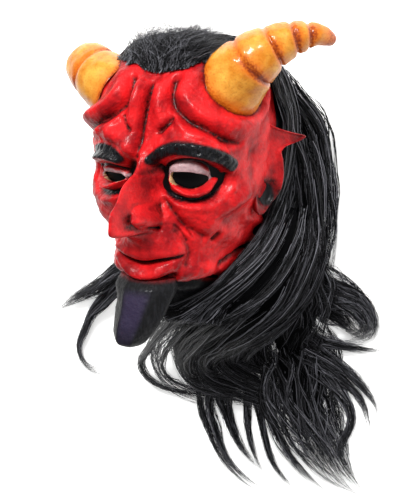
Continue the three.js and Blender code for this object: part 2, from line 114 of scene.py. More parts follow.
STROKES = (
    Stroke("nose", ((0, 162), (0, 154), (0, 145), (0, 134), (0, 124), (0, 116), (0, 109), (0, 103),
        (0, 98)), (6, 6, 5.6, 5.2, 4.8, 4.8, 5.8, 6.2, 5.8), (9, 16, 24, 32, 36, 40, 44, 41, 15),
        across=True),
    Stroke("nose base", ((0, 140), (0, 128), (0, 118), (0, 106)), (7, 10, 12, 12), (3, 10, 14, 14),
        across=True),
    Stroke("nose flank", ((5, 144), (5.5, 134), (7, 126)), 5.5, (3, 3, 3)),
    Stroke("nostril wing", ((6.8, 117), (9.2, 112.5), (11.6, 108.5)), 5.2, (17, 25, 16), crisp=2.2),
    Stroke("tip groove", ((4.6, 122), (4, 115), (4.2, 107), (5.4, 102)), 1.6, (-3, -11, -12, -6)),
    # the nostril's black is painted shade of its opening
    Stroke("nostril", ((10.4, 103), (13, 102)), 1.6, -6, paint=Paint.BLACK, paint_reach=1.1),
    Stroke("wing groove", ((14, 121), (16, 111), (14, 102)), 2.8, -4, paint=Paint.WASH_AND_SHADE, paint_reach=2,
        cover=0.25),
    Stroke("wing wrinkles", ((26, 104), (31, 97), (34, 90)), 1.2, -1.5, paint=Paint.WASH_AND_SHADE, paint_reach=1.2,
        cover=0.4),
    Stroke("wing wrinkles outside", ((29, 108), (35, 100), (38, 93)), 1.2, -1.4, paint=Paint.WASH_AND_SHADE,
        paint_reach=1.2, cover=0.35),
    Stroke("muzzle", ((-22, 83), (0, 89), (24, 83)), 13, (3, 9, 5), across=True),
    Stroke("upper lip", ((-25, 80.5), (0, 77), (24, 80)), 5, (4, 4, 1), across=True),
    # the mouth line's black is painted shade of the slit between the lips
    Stroke("mouth line", ((-30, 79.5), (-16, 74), (0, 70.5), (14, 73.5), (30, 77)), 1.9,
        (-7, -8, -9, -8, -3), across=True, paint=Paint.BLACK, paint_reach=1.3, cover=0.85),
    Stroke("lower lip", ((-24, 70.5), (-12, 65), (0, 62), (13, 64.5), (24, 69.5)), 5.6, (5, 10, 11, 9, 2),
        across=True),
    Stroke("under lip", ((-20, 57), (0, 51.5), (22, 58)), 4, -5, across=True, paint=Paint.WASH_AND_SHADE,
        paint_reach=3, cover=0.6),
    Stroke("smile fold", ((27, 98), (33, 88), (35, 78), (32, 69)), 4, -3.5, across=True, paint=Paint.WASH_AND_SHADE,
        paint_reach=1.8, cover=0.3),
    Stroke("cheek fold", ((19, 125), (27, 113), (36, 101), (44, 93)), 3.6, -4.5, paint=Paint.WASH_AND_SHADE,
        paint_reach=2, cover=0.35),
    Stroke("cheekbone", ((31, 119), (47, 114), (61, 120), (70, 128)), 10, (3, 6, 8, 7)),
    Stroke("cheek", ((48, 103), (58, 86)), 10, 5),
    Stroke("cheek pit", ((49, 90), (51, 94)), 3, -4.5, paint=Paint.WASH_AND_SHADE, paint_reach=2.4),
    Stroke("cheek lump", ((64, 104), (68, 94)), 5, 4),
    Stroke("jaw groove", ((49, 63), (54, 68), (60, 74)), 2.8, -5, paint=Paint.WASH_AND_SHADE, paint_reach=2,
        cover=0.8),
    Stroke("jaw", ((32, 62), (44, 62)), 8, 5),
    Stroke("jaw corner", ((60, 64), (66, 76)), 6, 5),
    Stroke("under jaw", ((18, 44), (38, 47), (52, 44), (60, 56)), 7, -7),
    Stroke("socket", ((20, 143), (38, 143), (56, 143)), 13, -9),
    Stroke("eyeball", ((30, 147), (42, 147)), 13, 10),
    Stroke("upper lid", ((16, 156), (27, 162), (40, 164), (54, 160), (65, 150)), 3.2, (2, 4, 5, 5, 3),
        across=True),
    Stroke("far upper lid", ((-17, 153), (-28, 156), (-40, 157), (-54, 153), (-63, 147)), 4,
        (3, 6, 7, 6, 3), across=True),
    # the black in the creases round the eyes, down to the lid groove, is painted shade as well as black paint
    Stroke("upper crease", ((16, 150), (23, 157), (37, 160.5), (48, 158), (56, 150), (60, 144)), 2.2,
        (-4, -6, -6, -6, -5, -3), across=True, paint=Paint.BLACK,
        paint_reach=(2.4, 1.5, 1.3, 1.5, 2, 1.6)),
    Stroke("far upper crease", ((-17, 145), (-24, 149), (-37, 150.5), (-48, 149), (-57, 144)), 2,
        (-3, -4, -4, -4, -3), across=True, paint=Paint.BLACK, paint_reach=1.1),
    Stroke("inner corner", ((13, 153), (17, 145), (17, 137)), 3.5, -4, paint=Paint.BLACK,
        paint_reach=(2.4, 3.2, 2.8), cover=0.9),
    Stroke("outer corner", ((58, 149), (62, 143), (62, 138)), 3, -3, paint=Paint.BLACK,
        paint_reach=(1.4, 1.9, 1.6)),
    Stroke("lower lid", ((20, 143), (28, 135.5), (40, 131), (51, 134.5), (60, 143.5)), 2.9,
        (5, 7, 7.5, 7, 4)),
    Stroke("lid groove", ((15, 140), (21, 132), (30, 127.5), (42, 125.7), (53, 128.5), (60, 136),
        (64, 146)), 2.5, -5, paint=Paint.BLACK, paint_reach=(2, 2.9, 2.4, 1.9, 2.2, 2.9, 2)),
    Stroke("lid ridge", ((18, 128), (30, 122.5), (43, 120.5), (56, 124), (66, 135)), 3.2, 2.5),
    Stroke("brow bone", ((12, 164), (26, 170), (42, 172), (56, 168), (68, 157)), (7, 8, 8, 7, 5),
        (5, 8, 8, 5, 1), across=True),
    Stroke("far brow bone", ((-12, 168), (-26, 174), (-42, 176), (-54, 174)), 8, (5, 7, 5, 1),
        across=True),
    Stroke("brow", ((8, 159), (17, 166), (28, 170.5), (40, 170), (52, 166.5), (61, 161), (66, 155)),
        (5, 5.4, 5.8, 6, 6, 6.2, 6.2), 4.6, across=True, crisp=4, paint=Paint.BLACK,
        paint_reach=(5.2, 5.6, 6.2, 6.6, 6.4, 6.6, 6.8)),
    Stroke("far brow", ((-22, 159), (-30, 162), (-40, 163), (-50, 161), (-57, 158)), 6.4, (4, 4, 4, 3, 1),
        across=True, crisp=4, paint=Paint.BLACK, paint_reach=(6, 6.8, 7, 6.6, 6)),
    Stroke("glabella", ((-9, 198), (-12, 182), (-13, 166)), (8, 9, 9), (3, 6, 9), across=True),
    Stroke("brow head", ((6, 170), (14, 174)), 5.5, 4, across=True),
    Stroke("brow ridge", ((26, 193), (30, 188), (38, 182.5), (48, 179), (57, 175)), 4.4,
        (3, 5, 5.5, 5, 3)),
    Stroke("crease", ((0, 219), (-1.5, 203), (-3, 187), (-4, 171), (-5, 161)), 2.3, (-4, -7, -5, -4, -3),
        across=True, paint=Paint.WASH_AND_SHADE, paint_reach=(1.4, 2.4, 1, 0.8, 0.8), cover=0.85),
    Stroke("crease roll", ((9, 216), (10, 202), (13, 190)), 6.5, (5, 6, 4)),
    Stroke("far crease roll", ((-9, 218), (-12, 204)), 6, 4, across=True),
    Stroke("forehead groove", ((20, 223), (20, 211), (25, 201), (36, 192), (46, 187), (54, 182), (62, 176),
        (71, 172)), 3.6, (-4, -6, -5.5, -5, -5.5, -4.5, -6, -2), paint=Paint.WASH_AND_SHADE,
        paint_reach=(2, 1.8, 0.8, 1.2, 2.6, 0.8, 3.2, 1.2), cover=0.8),
    Stroke("horn collar", ((32, 226), (31, 212), (39, 201), (52, 192), (66, 186), (77, 182)), 7.5,
        (4, 8, 9, 9, 7, 3)),
    Stroke("frown", ((13, 182), (18, 187), (23, 193)), 2.2, -4, paint=Paint.WASH_AND_SHADE, paint_reach=1.6,
        cover=0.6),
    Stroke("frown lump", ((24, 180), (34, 177)), 5.5, 3.5),
    Stroke("temple", ((77, 162),), 14, -5),
)

# Seen from the front: the cut eye opening, and the painted eyeball over it
EYE_OPENING = ((21, 143), (22, 148), (31, 150), (42, 149.5), (49, 147), (50, 142), (46, 137.5),
               (38, 135), (28, 138))
EYEBALL_PAINT = ((18, 149), (20, 153), (28, 157.5), (37, 159), (43, 157.5), (48, 154), (52, 145),
                 (46, 140), (30, 140))
# Chin and neck are black below this line: x, y
BLACK_EDGE = ((0, 57), (22, 55), (38, 46), (52, 40), (60, 40))

# Chin beard: y, centre x and z, half width, half depth
BEARD_SECTIONS = ((56, -1.5, 192, 27, 18), (47, -1.7, 196, 28.7, 22), (33, -3, 200, 25, 23),
                  (18, -5.7, 205, 21.6, 21.5), (5, -9, 209, 17.3, 18.5), (-3, -10.5, 211, 11.5, 13),
                  (-6, -10.5, 212, 5, 6))

# Ear leaf: y, start and end along the leaf
EAR_OUTLINE = ((103, 0, 3), (109, -4, 11), (117, -5, 19), (127, -5, 24), (138, -4, 26), (150, -4, 25),
               (158, -4, 23), (163, -4, 28), (167, -4, 44), (170, -4, 50), (174, -4, 36),
               (180, -4, 17), (187, -4, 4))

# Horns: middle line of the left one, and its half width at each ring groove
HORN_LINE = ((43, 206, 142), (57, 221, 150), (74, 239, 152), (92, 252, 144), (107, 259, 136),
             (120, 261, 127), (133, 255, 112))
HORN_RINGS = ((0, 31), (0.37, 24.5), (0.54, 18.5), (0.69, 13.8), (0.79, 11), (1, 4))
# The right one is bent down round an axis and moved, and is thinner
RIGHT_HORN = {"axis": (-0.6, 0.61, -0.53), "droop": 0.7, "shift": (11, -4, 0), "girth": 0.88,
              "ring_shift": 1.33, "width_shift": 0.84}

# Hairline, seen from the front: x, y
HAIRLINE = ((-76, 226), (-60, 234), (-45, 239), (-31, 241), (-26, 244), (-21, 243), (-15, 238), (-9, 235),
            (3, 233), (12, 235), (19, 237), (29, 240), (34, 245), (50, 245), (62, 236))


@dataclass(frozen=True)
class Tress:
    """A lock of the wig.

    Args:
        name: where the lock lies; not used.
        at: points (x, y, z) of its middle line, root first.
        width: widths at even steps from root to tip.
        thick: thicknesses at even steps from root to tip.
        core: share of its length, from the root, that is closely packed and lets no light through.
        fill: how many wisps it holds, against the usual number for its girth.
        crimp: how much its wisps wave.
    """

    name: str
    at: tuple
    width: tuple
    thick: tuple
    core: float = 0.0
    fill: float = 1.0
    crimp: float = 1.0


TRESSES = (
    Tress("side_fall", ((52, 222, 60), (68, 200, 50), (80, 176, 38), (86, 148, 27), (88, 112, 19),
        (88, 76, 16), (86, 40, 14), (88, 8, 12), (98, -16, 9)), (30, 40, 38, 32, 24), (22, 28, 26, 20, 14),
        core=0.7),
    Tress("far_side_fall", ((-58, 228, 72), (-72, 208, 58), (-83, 182, 40), (-84, 140, 26), (-84, 90, 18),
        (-86, 40, 16), (-92, -2, 12)), (44, 40, 30), (28, 30, 18), core=0.8),
    Tress("behind_ear", ((78, 188, 84), (82, 152, 64), (82, 112, 50), (80, 72, 40), (74, 32, 32),
        (66, -6, 25), (62, -40, 18), (70, -70, 12), (86, -86, 7)), (40, 60, 34), (24, 32, 14), core=0.85),
    Tress("far_behind_ear", ((-78, 188, 84), (-82, 150, 62), (-80, 108, 46), (-76, 66, 34), (-74, 24, 26),
        (-84, -14, 16)), (40, 50, 30), (24, 30, 14), core=0.9),
    Tress("nape", ((8, 120, 8), (6, 60, 9), (4, 10, 9), (6, -35, 9), (16, -80, 8)), (110, 124, 100),
        (22, 26, 20), core=0.9),
    Tress("pool", ((10, -30, 26), (8, -60, 20), (10, -86, 13), (18, -112, 6)), (92, 96, 80), (30, 24, 8),
        core=0.8),
    Tress("loop", ((78, 118, 76), (75, 90, 100), (73, 74, 124), (63, 58, 142), (43, 38, 150),
        (16, 18, 146), (-15, -9, 125), (-50, -41, 90), (-83, -74, 50), (-102, -98, 25), (-103, -117, 12),
        (-91, -127, 8), (-70, -131, 6), (-41, -129, 5), (-5, -124, 5), (27, -119, 5), (57, -122, 5),
        (80, -141, 5)), (16, 18, 18, 16, 14, 11, 9, 8, 7, 7, 7, 6, 5), (10, 12, 12, 10, 9, 7, 6, 5, 4)),
    Tress("mid_loop", ((81, 114, 72), (81, 88, 95), (77, 68, 116), (67, 52, 134), (49, 35, 144),
        (24, 15, 138), (-8, -12, 116), (-39, -41, 84), (-65, -70, 52), (-78, -96, 28), (-77, -115, 15),
        (-60, -124, 9), (-33, -126, 7), (2, -122, 6), (36, -124, 6), (66, -139, 5), (86, -165, 5)), (24,
        32, 34, 32, 30, 28, 26, 26, 24, 20, 16, 10), (14, 16, 16, 13, 10, 8, 6, 5), fill=0.4),
    Tress("inner_loop", ((84, 112, 66), (85, 83, 88), (79, 61, 106), (71, 43, 124), (54, 26, 133),
        (31, 7, 128), (2, -19, 104), (-26, -49, 72), (-45, -77, 42), (-49, -99, 22), (-36, -112, 14),
        (-12, -116, 11), (19, -117, 9), (53, -122, 8), (78, -141, 7), (97, -169, 5)), (30, 40, 44, 40, 36,
        32, 28, 26, 26, 24, 20, 12), (18, 24, 26, 22, 18, 14, 12, 10, 8), core=0.5),
    Tress("swirl", ((87, 104, 58), (88, 75, 78), (82, 49, 90), (74, 27, 99), (57, 8, 101), (33, -12, 90),
        (5, -37, 69), (-19, -63, 45), (-28, -84, 28), (-21, -99, 19), (-1, -107, 15), (27, -113, 12),
        (58, -123, 10), (82, -146, 8), (102, -179, 5)), (34, 50, 54, 48, 44, 40, 36, 34, 34, 30, 22, 10),
        (18, 28, 30, 26, 22, 16, 12, 10, 8), core=0.55),
    Tress("eddy", ((88, 94, 48), (88, 58, 58), (82, 29, 64), (70, 7, 68), (51, -13, 66), (29, -31, 56),
        (9, -51, 42), (-1, -70, 30), (4, -84, 22), (25, -94, 17), (51, -104, 13), (76, -122, 10),
        (95, -148, 8), (111, -178, 5)), (30, 46, 52, 48, 42, 38, 38, 40, 40, 34, 24, 10),
        (18, 26, 28, 24, 20, 16, 14, 12, 8, 5), core=0.6),
    Tress("near_drape", ((86, 92, 50), (86, 56, 50), (84, 20, 46), (78, -14, 38), (66, -48, 26),
        (58, -80, 16)), (30, 66, 50), (16, 34, 16), core=0.9),
    Tress("left_curl", ((-82, 38, 24), (-100, 20, 24), (-118, 2, 21), (-144, -27, 16), (-168, -52, 11),
        (-183, -79, 8), (-192, -102, 6), (-188, -118, 4), (-174, -126, 3), (-150, -128, 3)),
        (32, 28, 22, 16, 13, 11, 9, 5), (16, 14, 11, 8, 6, 5, 4, 3), fill=1.5),
    Tress("left_lock", ((-82, 50, 26), (-102, 24, 24), (-133, -1, 18), (-158, -19, 14), (-187, -38, 9),
        (-210, -52, 6), (-226, -63, 3)), (32, 28, 22, 17, 11, 4), (16, 13, 10, 8, 6, 3), fill=1.5),
    Tress("edge_lock", ((58, -26, 24), (84, -41, 16), (101, -47, 10), (121, -50, 6), (140, -50, 5),
        (160, -48, 4)), (34, 24, 14, 9, 7, 4), (18, 13, 9, 6, 5, 3)),
    Tress("outer_curl", ((73, 34, 18), (94, 16, 15), (112, 8, 12), (128, 0, 9), (138, -10, 7),
        (143, -22, 6), (139, -33, 5), (128, -41, 4), (112, -44, 3)), (40, 40, 36, 32, 27, 22, 16, 8),
        (20, 18, 14, 12, 10, 8, 5), fill=1.2),
    Tress("inner_curl", ((75, 8, 20), (94, -8, 15), (112, -20, 10), (127, -32, 6), (142, -38, 4)),
        (38, 32, 22, 12, 5), (18, 14, 10, 6, 4)),
    Tress("right_lock", ((74, -50, 22), (99, -70, 14), (118, -85, 9), (132, -96, 6), (142, -110, 5),
        (146, -126, 4), (151, -142, 3)), (24, 14, 9, 6, 3), (14, 9, 6, 4, 3)),
    Tress("outer_lock", ((82, -42, 22), (107, -63, 13), (127, -78, 8), (143, -92, 6), (154, -106, 4),
        (158, -124, 3)), (26, 16, 10, 7, 3), (14, 9, 6, 4, 3)),
    Tress("tail_1", ((-13, -84, 16), (-24, -100, 12), (-31, -118, 9), (-32, -139, 8), (-26, -162, 7),
        (-18, -183, 6), (-7, -201, 5), (10, -216, 4), (38, -229, 3)), (30, 24, 18, 15, 11, 8, 4),
        (16, 12, 9, 8, 6, 5, 3)),
    Tress("tail_0", ((-4, -88, 15), (-11, -104, 13), (-12, -124, 10), (-6, -149, 8), (8, -180, 6),
        (33, -203, 4)), (34, 26, 14, 8, 6, 3), (16, 12, 9, 7, 5, 3)),
    Tress("tail_2", ((14, -96, 10), (16, -113, 9), (15, -139, 6), (17, -165, 5), (24, -188, 4),
        (38, -210, 3)), (14, 7, 5, 4, 3), (10, 6, 5, 4, 3)),
    Tress("tail_3", ((26, -96, 10), (26, -112, 9), (30, -139, 6), (35, -163, 5), (46, -194, 4),
        (70, -219, 3)), (16, 8, 5, 4, 3), (10, 6, 5, 4, 3)),
    Tress("tail_4", ((36, -90, 11), (36, -106, 10), (41, -132, 8), (50, -156, 6), (62, -176, 5),
        (80, -197, 4), (108, -216, 3)), (22, 13, 10, 9, 7, 3), (12, 9, 7, 5, 4, 3)),
    Tress("tail_5", ((62, -40, 18), (73, -62, 17), (76, -86, 14), (81, -112, 12), (91, -138, 10),
        (104, -161, 8), (119, -186, 5), (144, -208, 3)), (66, 74, 76, 70, 56, 34, 6),
        (24, 22, 18, 14, 11, 7, 3), core=0.5, fill=1.15, crimp=0.3),
    Tress("tail_6", ((92, -70, 15), (112, -91, 12), (125, -108, 8), (130, -125, 6), (126, -142, 5),
        (119, -157, 5), (120, -172, 4), (128, -185, 4), (143, -197, 3)), (24, 15, 10, 8, 8, 7, 4),
        (14, 10, 7, 6, 5, 4, 3)),
)


# Curves, noise and meshes
def monotone(xs: Sequence[float], ys: Sequence[float], at: Array) -> Array:
    """Smooth value between listed ones that never overshoots them (monotone cubic).

    Args:
        xs: places of the listed values, rising.
        ys: listed values.
        at: places asked for.

    Returns:
        The value at each place.
    """
    x, y = np.asarray(xs, float), np.asarray(ys, float)
    gap, rise = np.diff(x), np.diff(y) / np.diff(x)
    slope = np.empty_like(y)
    slope[0], slope[-1] = rise[0], rise[-1]
    both = rise[:-1] * rise[1:]
    safe = np.where(both > 0, both, 1.0)
    slope[1:-1] = np.where(both > 0, 2 * safe / np.where(both > 0, rise[:-1] + rise[1:], 1.0), 0)
    i = np.clip(np.searchsorted(x, at, side="right") - 1, 0, len(gap) - 1)
    s = np.clip((at - x[i]) / gap[i], 0, 1)
    t = 1 - s
    return (t * t * (t + 3 * s) * y[i] + s * s * (s + 3 * t) * y[i + 1]
            + t * t * s * gap[i] * slope[i] - s * s * t * gap[i] * slope[i + 1])


def smooth_line(points: Sequence, count: int, closed: bool = False) -> Array:
    """Centripetal Catmull-Rom line through points, resampled at even spacing.

    Args:
        points: points of the line, any dimension.
        count: number of points wanted.
        closed: True for a loop; its first point isn't repeated.

    Returns:
        Array of count points.
    """
    p = np.asarray(points, float)
    if closed:
        p = np.vstack([p[-1:], p, p[:2]])
    else:
        p = np.vstack([2 * p[:1] - p[1:2], p, 2 * p[-1:] - p[-2:-1]])
    knots = np.concatenate([[0], np.cumsum(np.linalg.norm(np.diff(p, axis=0), axis=1) ** 0.5)])
    out = []
    for i in range(1, len(p) - 2):
        t0, t1, t2, t3 = knots[i - 1:i + 3]
        t = np.linspace(t1, t2, 24, endpoint=False)[:, None]
        a1 = (t1 - t) / (t1 - t0) * p[i - 1] + (t - t0) / (t1 - t0) * p[i]
        a2 = (t2 - t) / (t2 - t1) * p[i] + (t - t1) / (t2 - t1) * p[i + 1]
        a3 = (t3 - t) / (t3 - t2) * p[i + 1] + (t - t2) / (t3 - t2) * p[i + 2]
        b1 = (t2 - t) / (t2 - t0) * a1 + (t - t0) / (t2 - t0) * a2
        b2 = (t3 - t) / (t3 - t1) * a2 + (t - t1) / (t3 - t1) * a3
        out.append((t2 - t) / (t2 - t1) * b1 + (t - t1) / (t2 - t1) * b2)
    line = np.vstack(out + [p[-2:-1]])
    run = np.concatenate([[0], np.cumsum(np.linalg.norm(np.diff(line, axis=0), axis=1))])
    wanted = np.linspace(0, run[-1], count + (1 if closed else 0))[:count]
    return np.stack([np.interp(wanted, run, line[:, k]) for k in range(p.shape[1])], axis=1)


def sampled(table: Array, at: Array) -> Array:
    """Points of an evenly spaced line at shares of its length."""
    fine = np.linspace(0, 1, len(table))
    return np.stack([np.interp(at, fine, table[:, k]) for k in range(3)], axis=-1)


def full_turn(count: int) -> Array:
    """Angles of even steps round a circle."""
    return np.arange(count) / count * 2 * math.pi


def smoothstep(value: Array, low: float, high: float) -> Array:
    """0 below low, 1 above high, smooth between."""
    t = np.clip((value - low) / (high - low), 0, 1)
    return t * t * (3 - 2 * t)


def noise(points: Array, cell: float, seed: int) -> Array:
    """Smooth random value at each point.

    Args:
        points: points (n, 3).
        cell: width of its lumps.
        seed: picks the pattern.

    Returns:
        Values from -1 to 1.
    """
    p = np.asarray(points, float) / cell + seed * 17.31
    base = np.floor(p).astype(np.int64)
    f = p - base
    f = f * f * (3 - 2 * f)
    total = np.zeros(len(p))
    for corner in range(8):
        bit = np.array([(corner >> k) & 1 for k in range(3)])
        n = base + bit
        mixed = (n[:, 0] * 73856093) ^ (n[:, 1] * 19349663) ^ (n[:, 2] * 83492791) ^ (seed * 2654435)
        mixed = (mixed ^ (mixed >> 13)) * 1274126177
        value = ((mixed ^ (mixed >> 16)) & 0xFFFF) / 32767.5 - 1
        total += value * np.prod(np.where(bit, f, 1 - f), axis=1)
    return total


def unit(vectors: Array) -> Array:
    """Vectors at length one."""
    return vectors / np.maximum(np.linalg.norm(vectors, axis=-1, keepdims=True), 1e-9)


def ring_faces(rings: int, sides: int, closed: bool = True) -> Array:
    """Quads between rings of equally many points.

    Args:
        rings: number of rings.
        sides: points in each.
        closed: True where each ring joins its own start.

    Returns:
        Rows of four point numbers.
    """
    j, i = np.meshgrid(np.arange(rings - 1), np.arange(sides if closed else sides - 1), indexing="ij")
    a = j * sides + i
    b = j * sides + (i + 1) % sides
    return np.stack([a, b, b + sides, a + sides], axis=-1).reshape(-1, 4)


@dataclass
class Piece:
    """Geometry gathered for one Blender mesh, in millimetres.

    Args:
        name: name of the object.
    """

    name: str
    parts: list = field(default_factory=list)
    count: int = 0

    def add(self, points: Array, faces: Array, uv: Array | None = None, **values: Array) -> None:
        """Adds points and faces.

        Args:
            points: points (n, 3).
            faces: rows of point numbers, all with equally many corners.
            uv: uv of each point.
            values: named value of each point.
        """
        self.parts.append((points, faces + self.count, uv, values))
        self.count += len(points)

    def join(self, faces: Array) -> None:
        """Adds faces between points that are already there."""
        self.parts.append((np.empty((0, 3)), faces, np.empty((0, 2)), {}))

    def gathered(self, name: str) -> Array:
        """One value of all points, zero where a part doesn't have it."""
        return np.concatenate([np.broadcast_to(values.get(name, 0.0), len(points))
                               for points, _, _, values in self.parts])

    def build(self, finish: "Finish") -> bpy.types.Object:
        """Makes the mesh object, smooth shaded, with its uv layer and named values.

        Args:
            finish: what it is finished in.

        Returns:
            The new object.
        """
        mesh = bpy.data.meshes.new(self.name)
        corners = np.concatenate([faces.ravel() for _, faces, _, _ in self.parts])
        sizes = np.concatenate([np.full(len(faces), faces.shape[1]) for _, faces, _, _ in self.parts])
        mesh.vertices.add(self.count)
        mesh.loops.add(len(corners))
        mesh.polygons.add(len(sizes))
        points = np.concatenate([points for points, _, _, _ in self.parts])
        mesh.vertices.foreach_set("co", (points * MM).astype(np.float32).ravel())
        mesh.loops.foreach_set("vertex_index", corners.astype(np.int32))
        mesh.polygons.foreach_set("loop_start", np.concatenate([[0], np.cumsum(sizes)[:-1]]).astype(np.int32))
        mesh.polygons.foreach_set("use_smooth", np.ones(len(sizes), bool))
        mesh.update(calc_edges=True)
        mesh.validate()
        uv = np.concatenate([np.zeros((len(points), 2)) if uv is None else uv
                             for points, _, uv, _ in self.parts])
        layer = mesh.uv_layers.new(name="UVMap")
        layer.data.foreach_set("uv", uv[corners].astype(np.float32).ravel())
        for name in sorted({name for part in self.parts for name in part[3]}):
            value = mesh.attributes.new(name, "FLOAT", "POINT")
            value.data.foreach_set("value", self.gathered(name).astype(np.float32))
        obj = bpy.data.objects.new(self.name, mesh)
        bpy.context.scene.collection.objects.link(obj)
        mesh.materials.append(finish.material())
        return obj


def loft(piece: Piece, rings: Array, **values: Array) -> None:
    """Adds a closed tube over rings (rings, sides, 3), with a fan over each end.

    Args:
        piece: where the tube goes.
        rings: points, each ring counter-clockwise seen from the tube's far end.
        values: named values (rings, sides) of the points.
    """
    count, sides = rings.shape[:2]
    start = piece.count
    u, v = np.meshgrid(np.linspace(0, 1, sides), np.linspace(0, 1, count))
    uv = np.vstack([np.stack([u, v], -1).reshape(-1, 2), (0.5, 0), (0.5, 1)])
    points = np.vstack([rings.reshape(-1, 3), rings[0].mean(axis=0), rings[-1].mean(axis=0)])
    named = {name: np.concatenate([value.ravel(), [value[0].mean(), value[-1].mean()]])
             for name, value in values.items()}
    piece.add(points, ring_faces(count, sides), uv, **named)
    i, top = np.arange(sides), (count - 1) * sides
    after, middle = (i + 1) % sides, np.full(sides, count * sides)
    piece.join(np.vstack([np.stack([after, i, middle], axis=1),
                          np.stack([top + i, top + after, middle + 1], axis=1)]) + start)


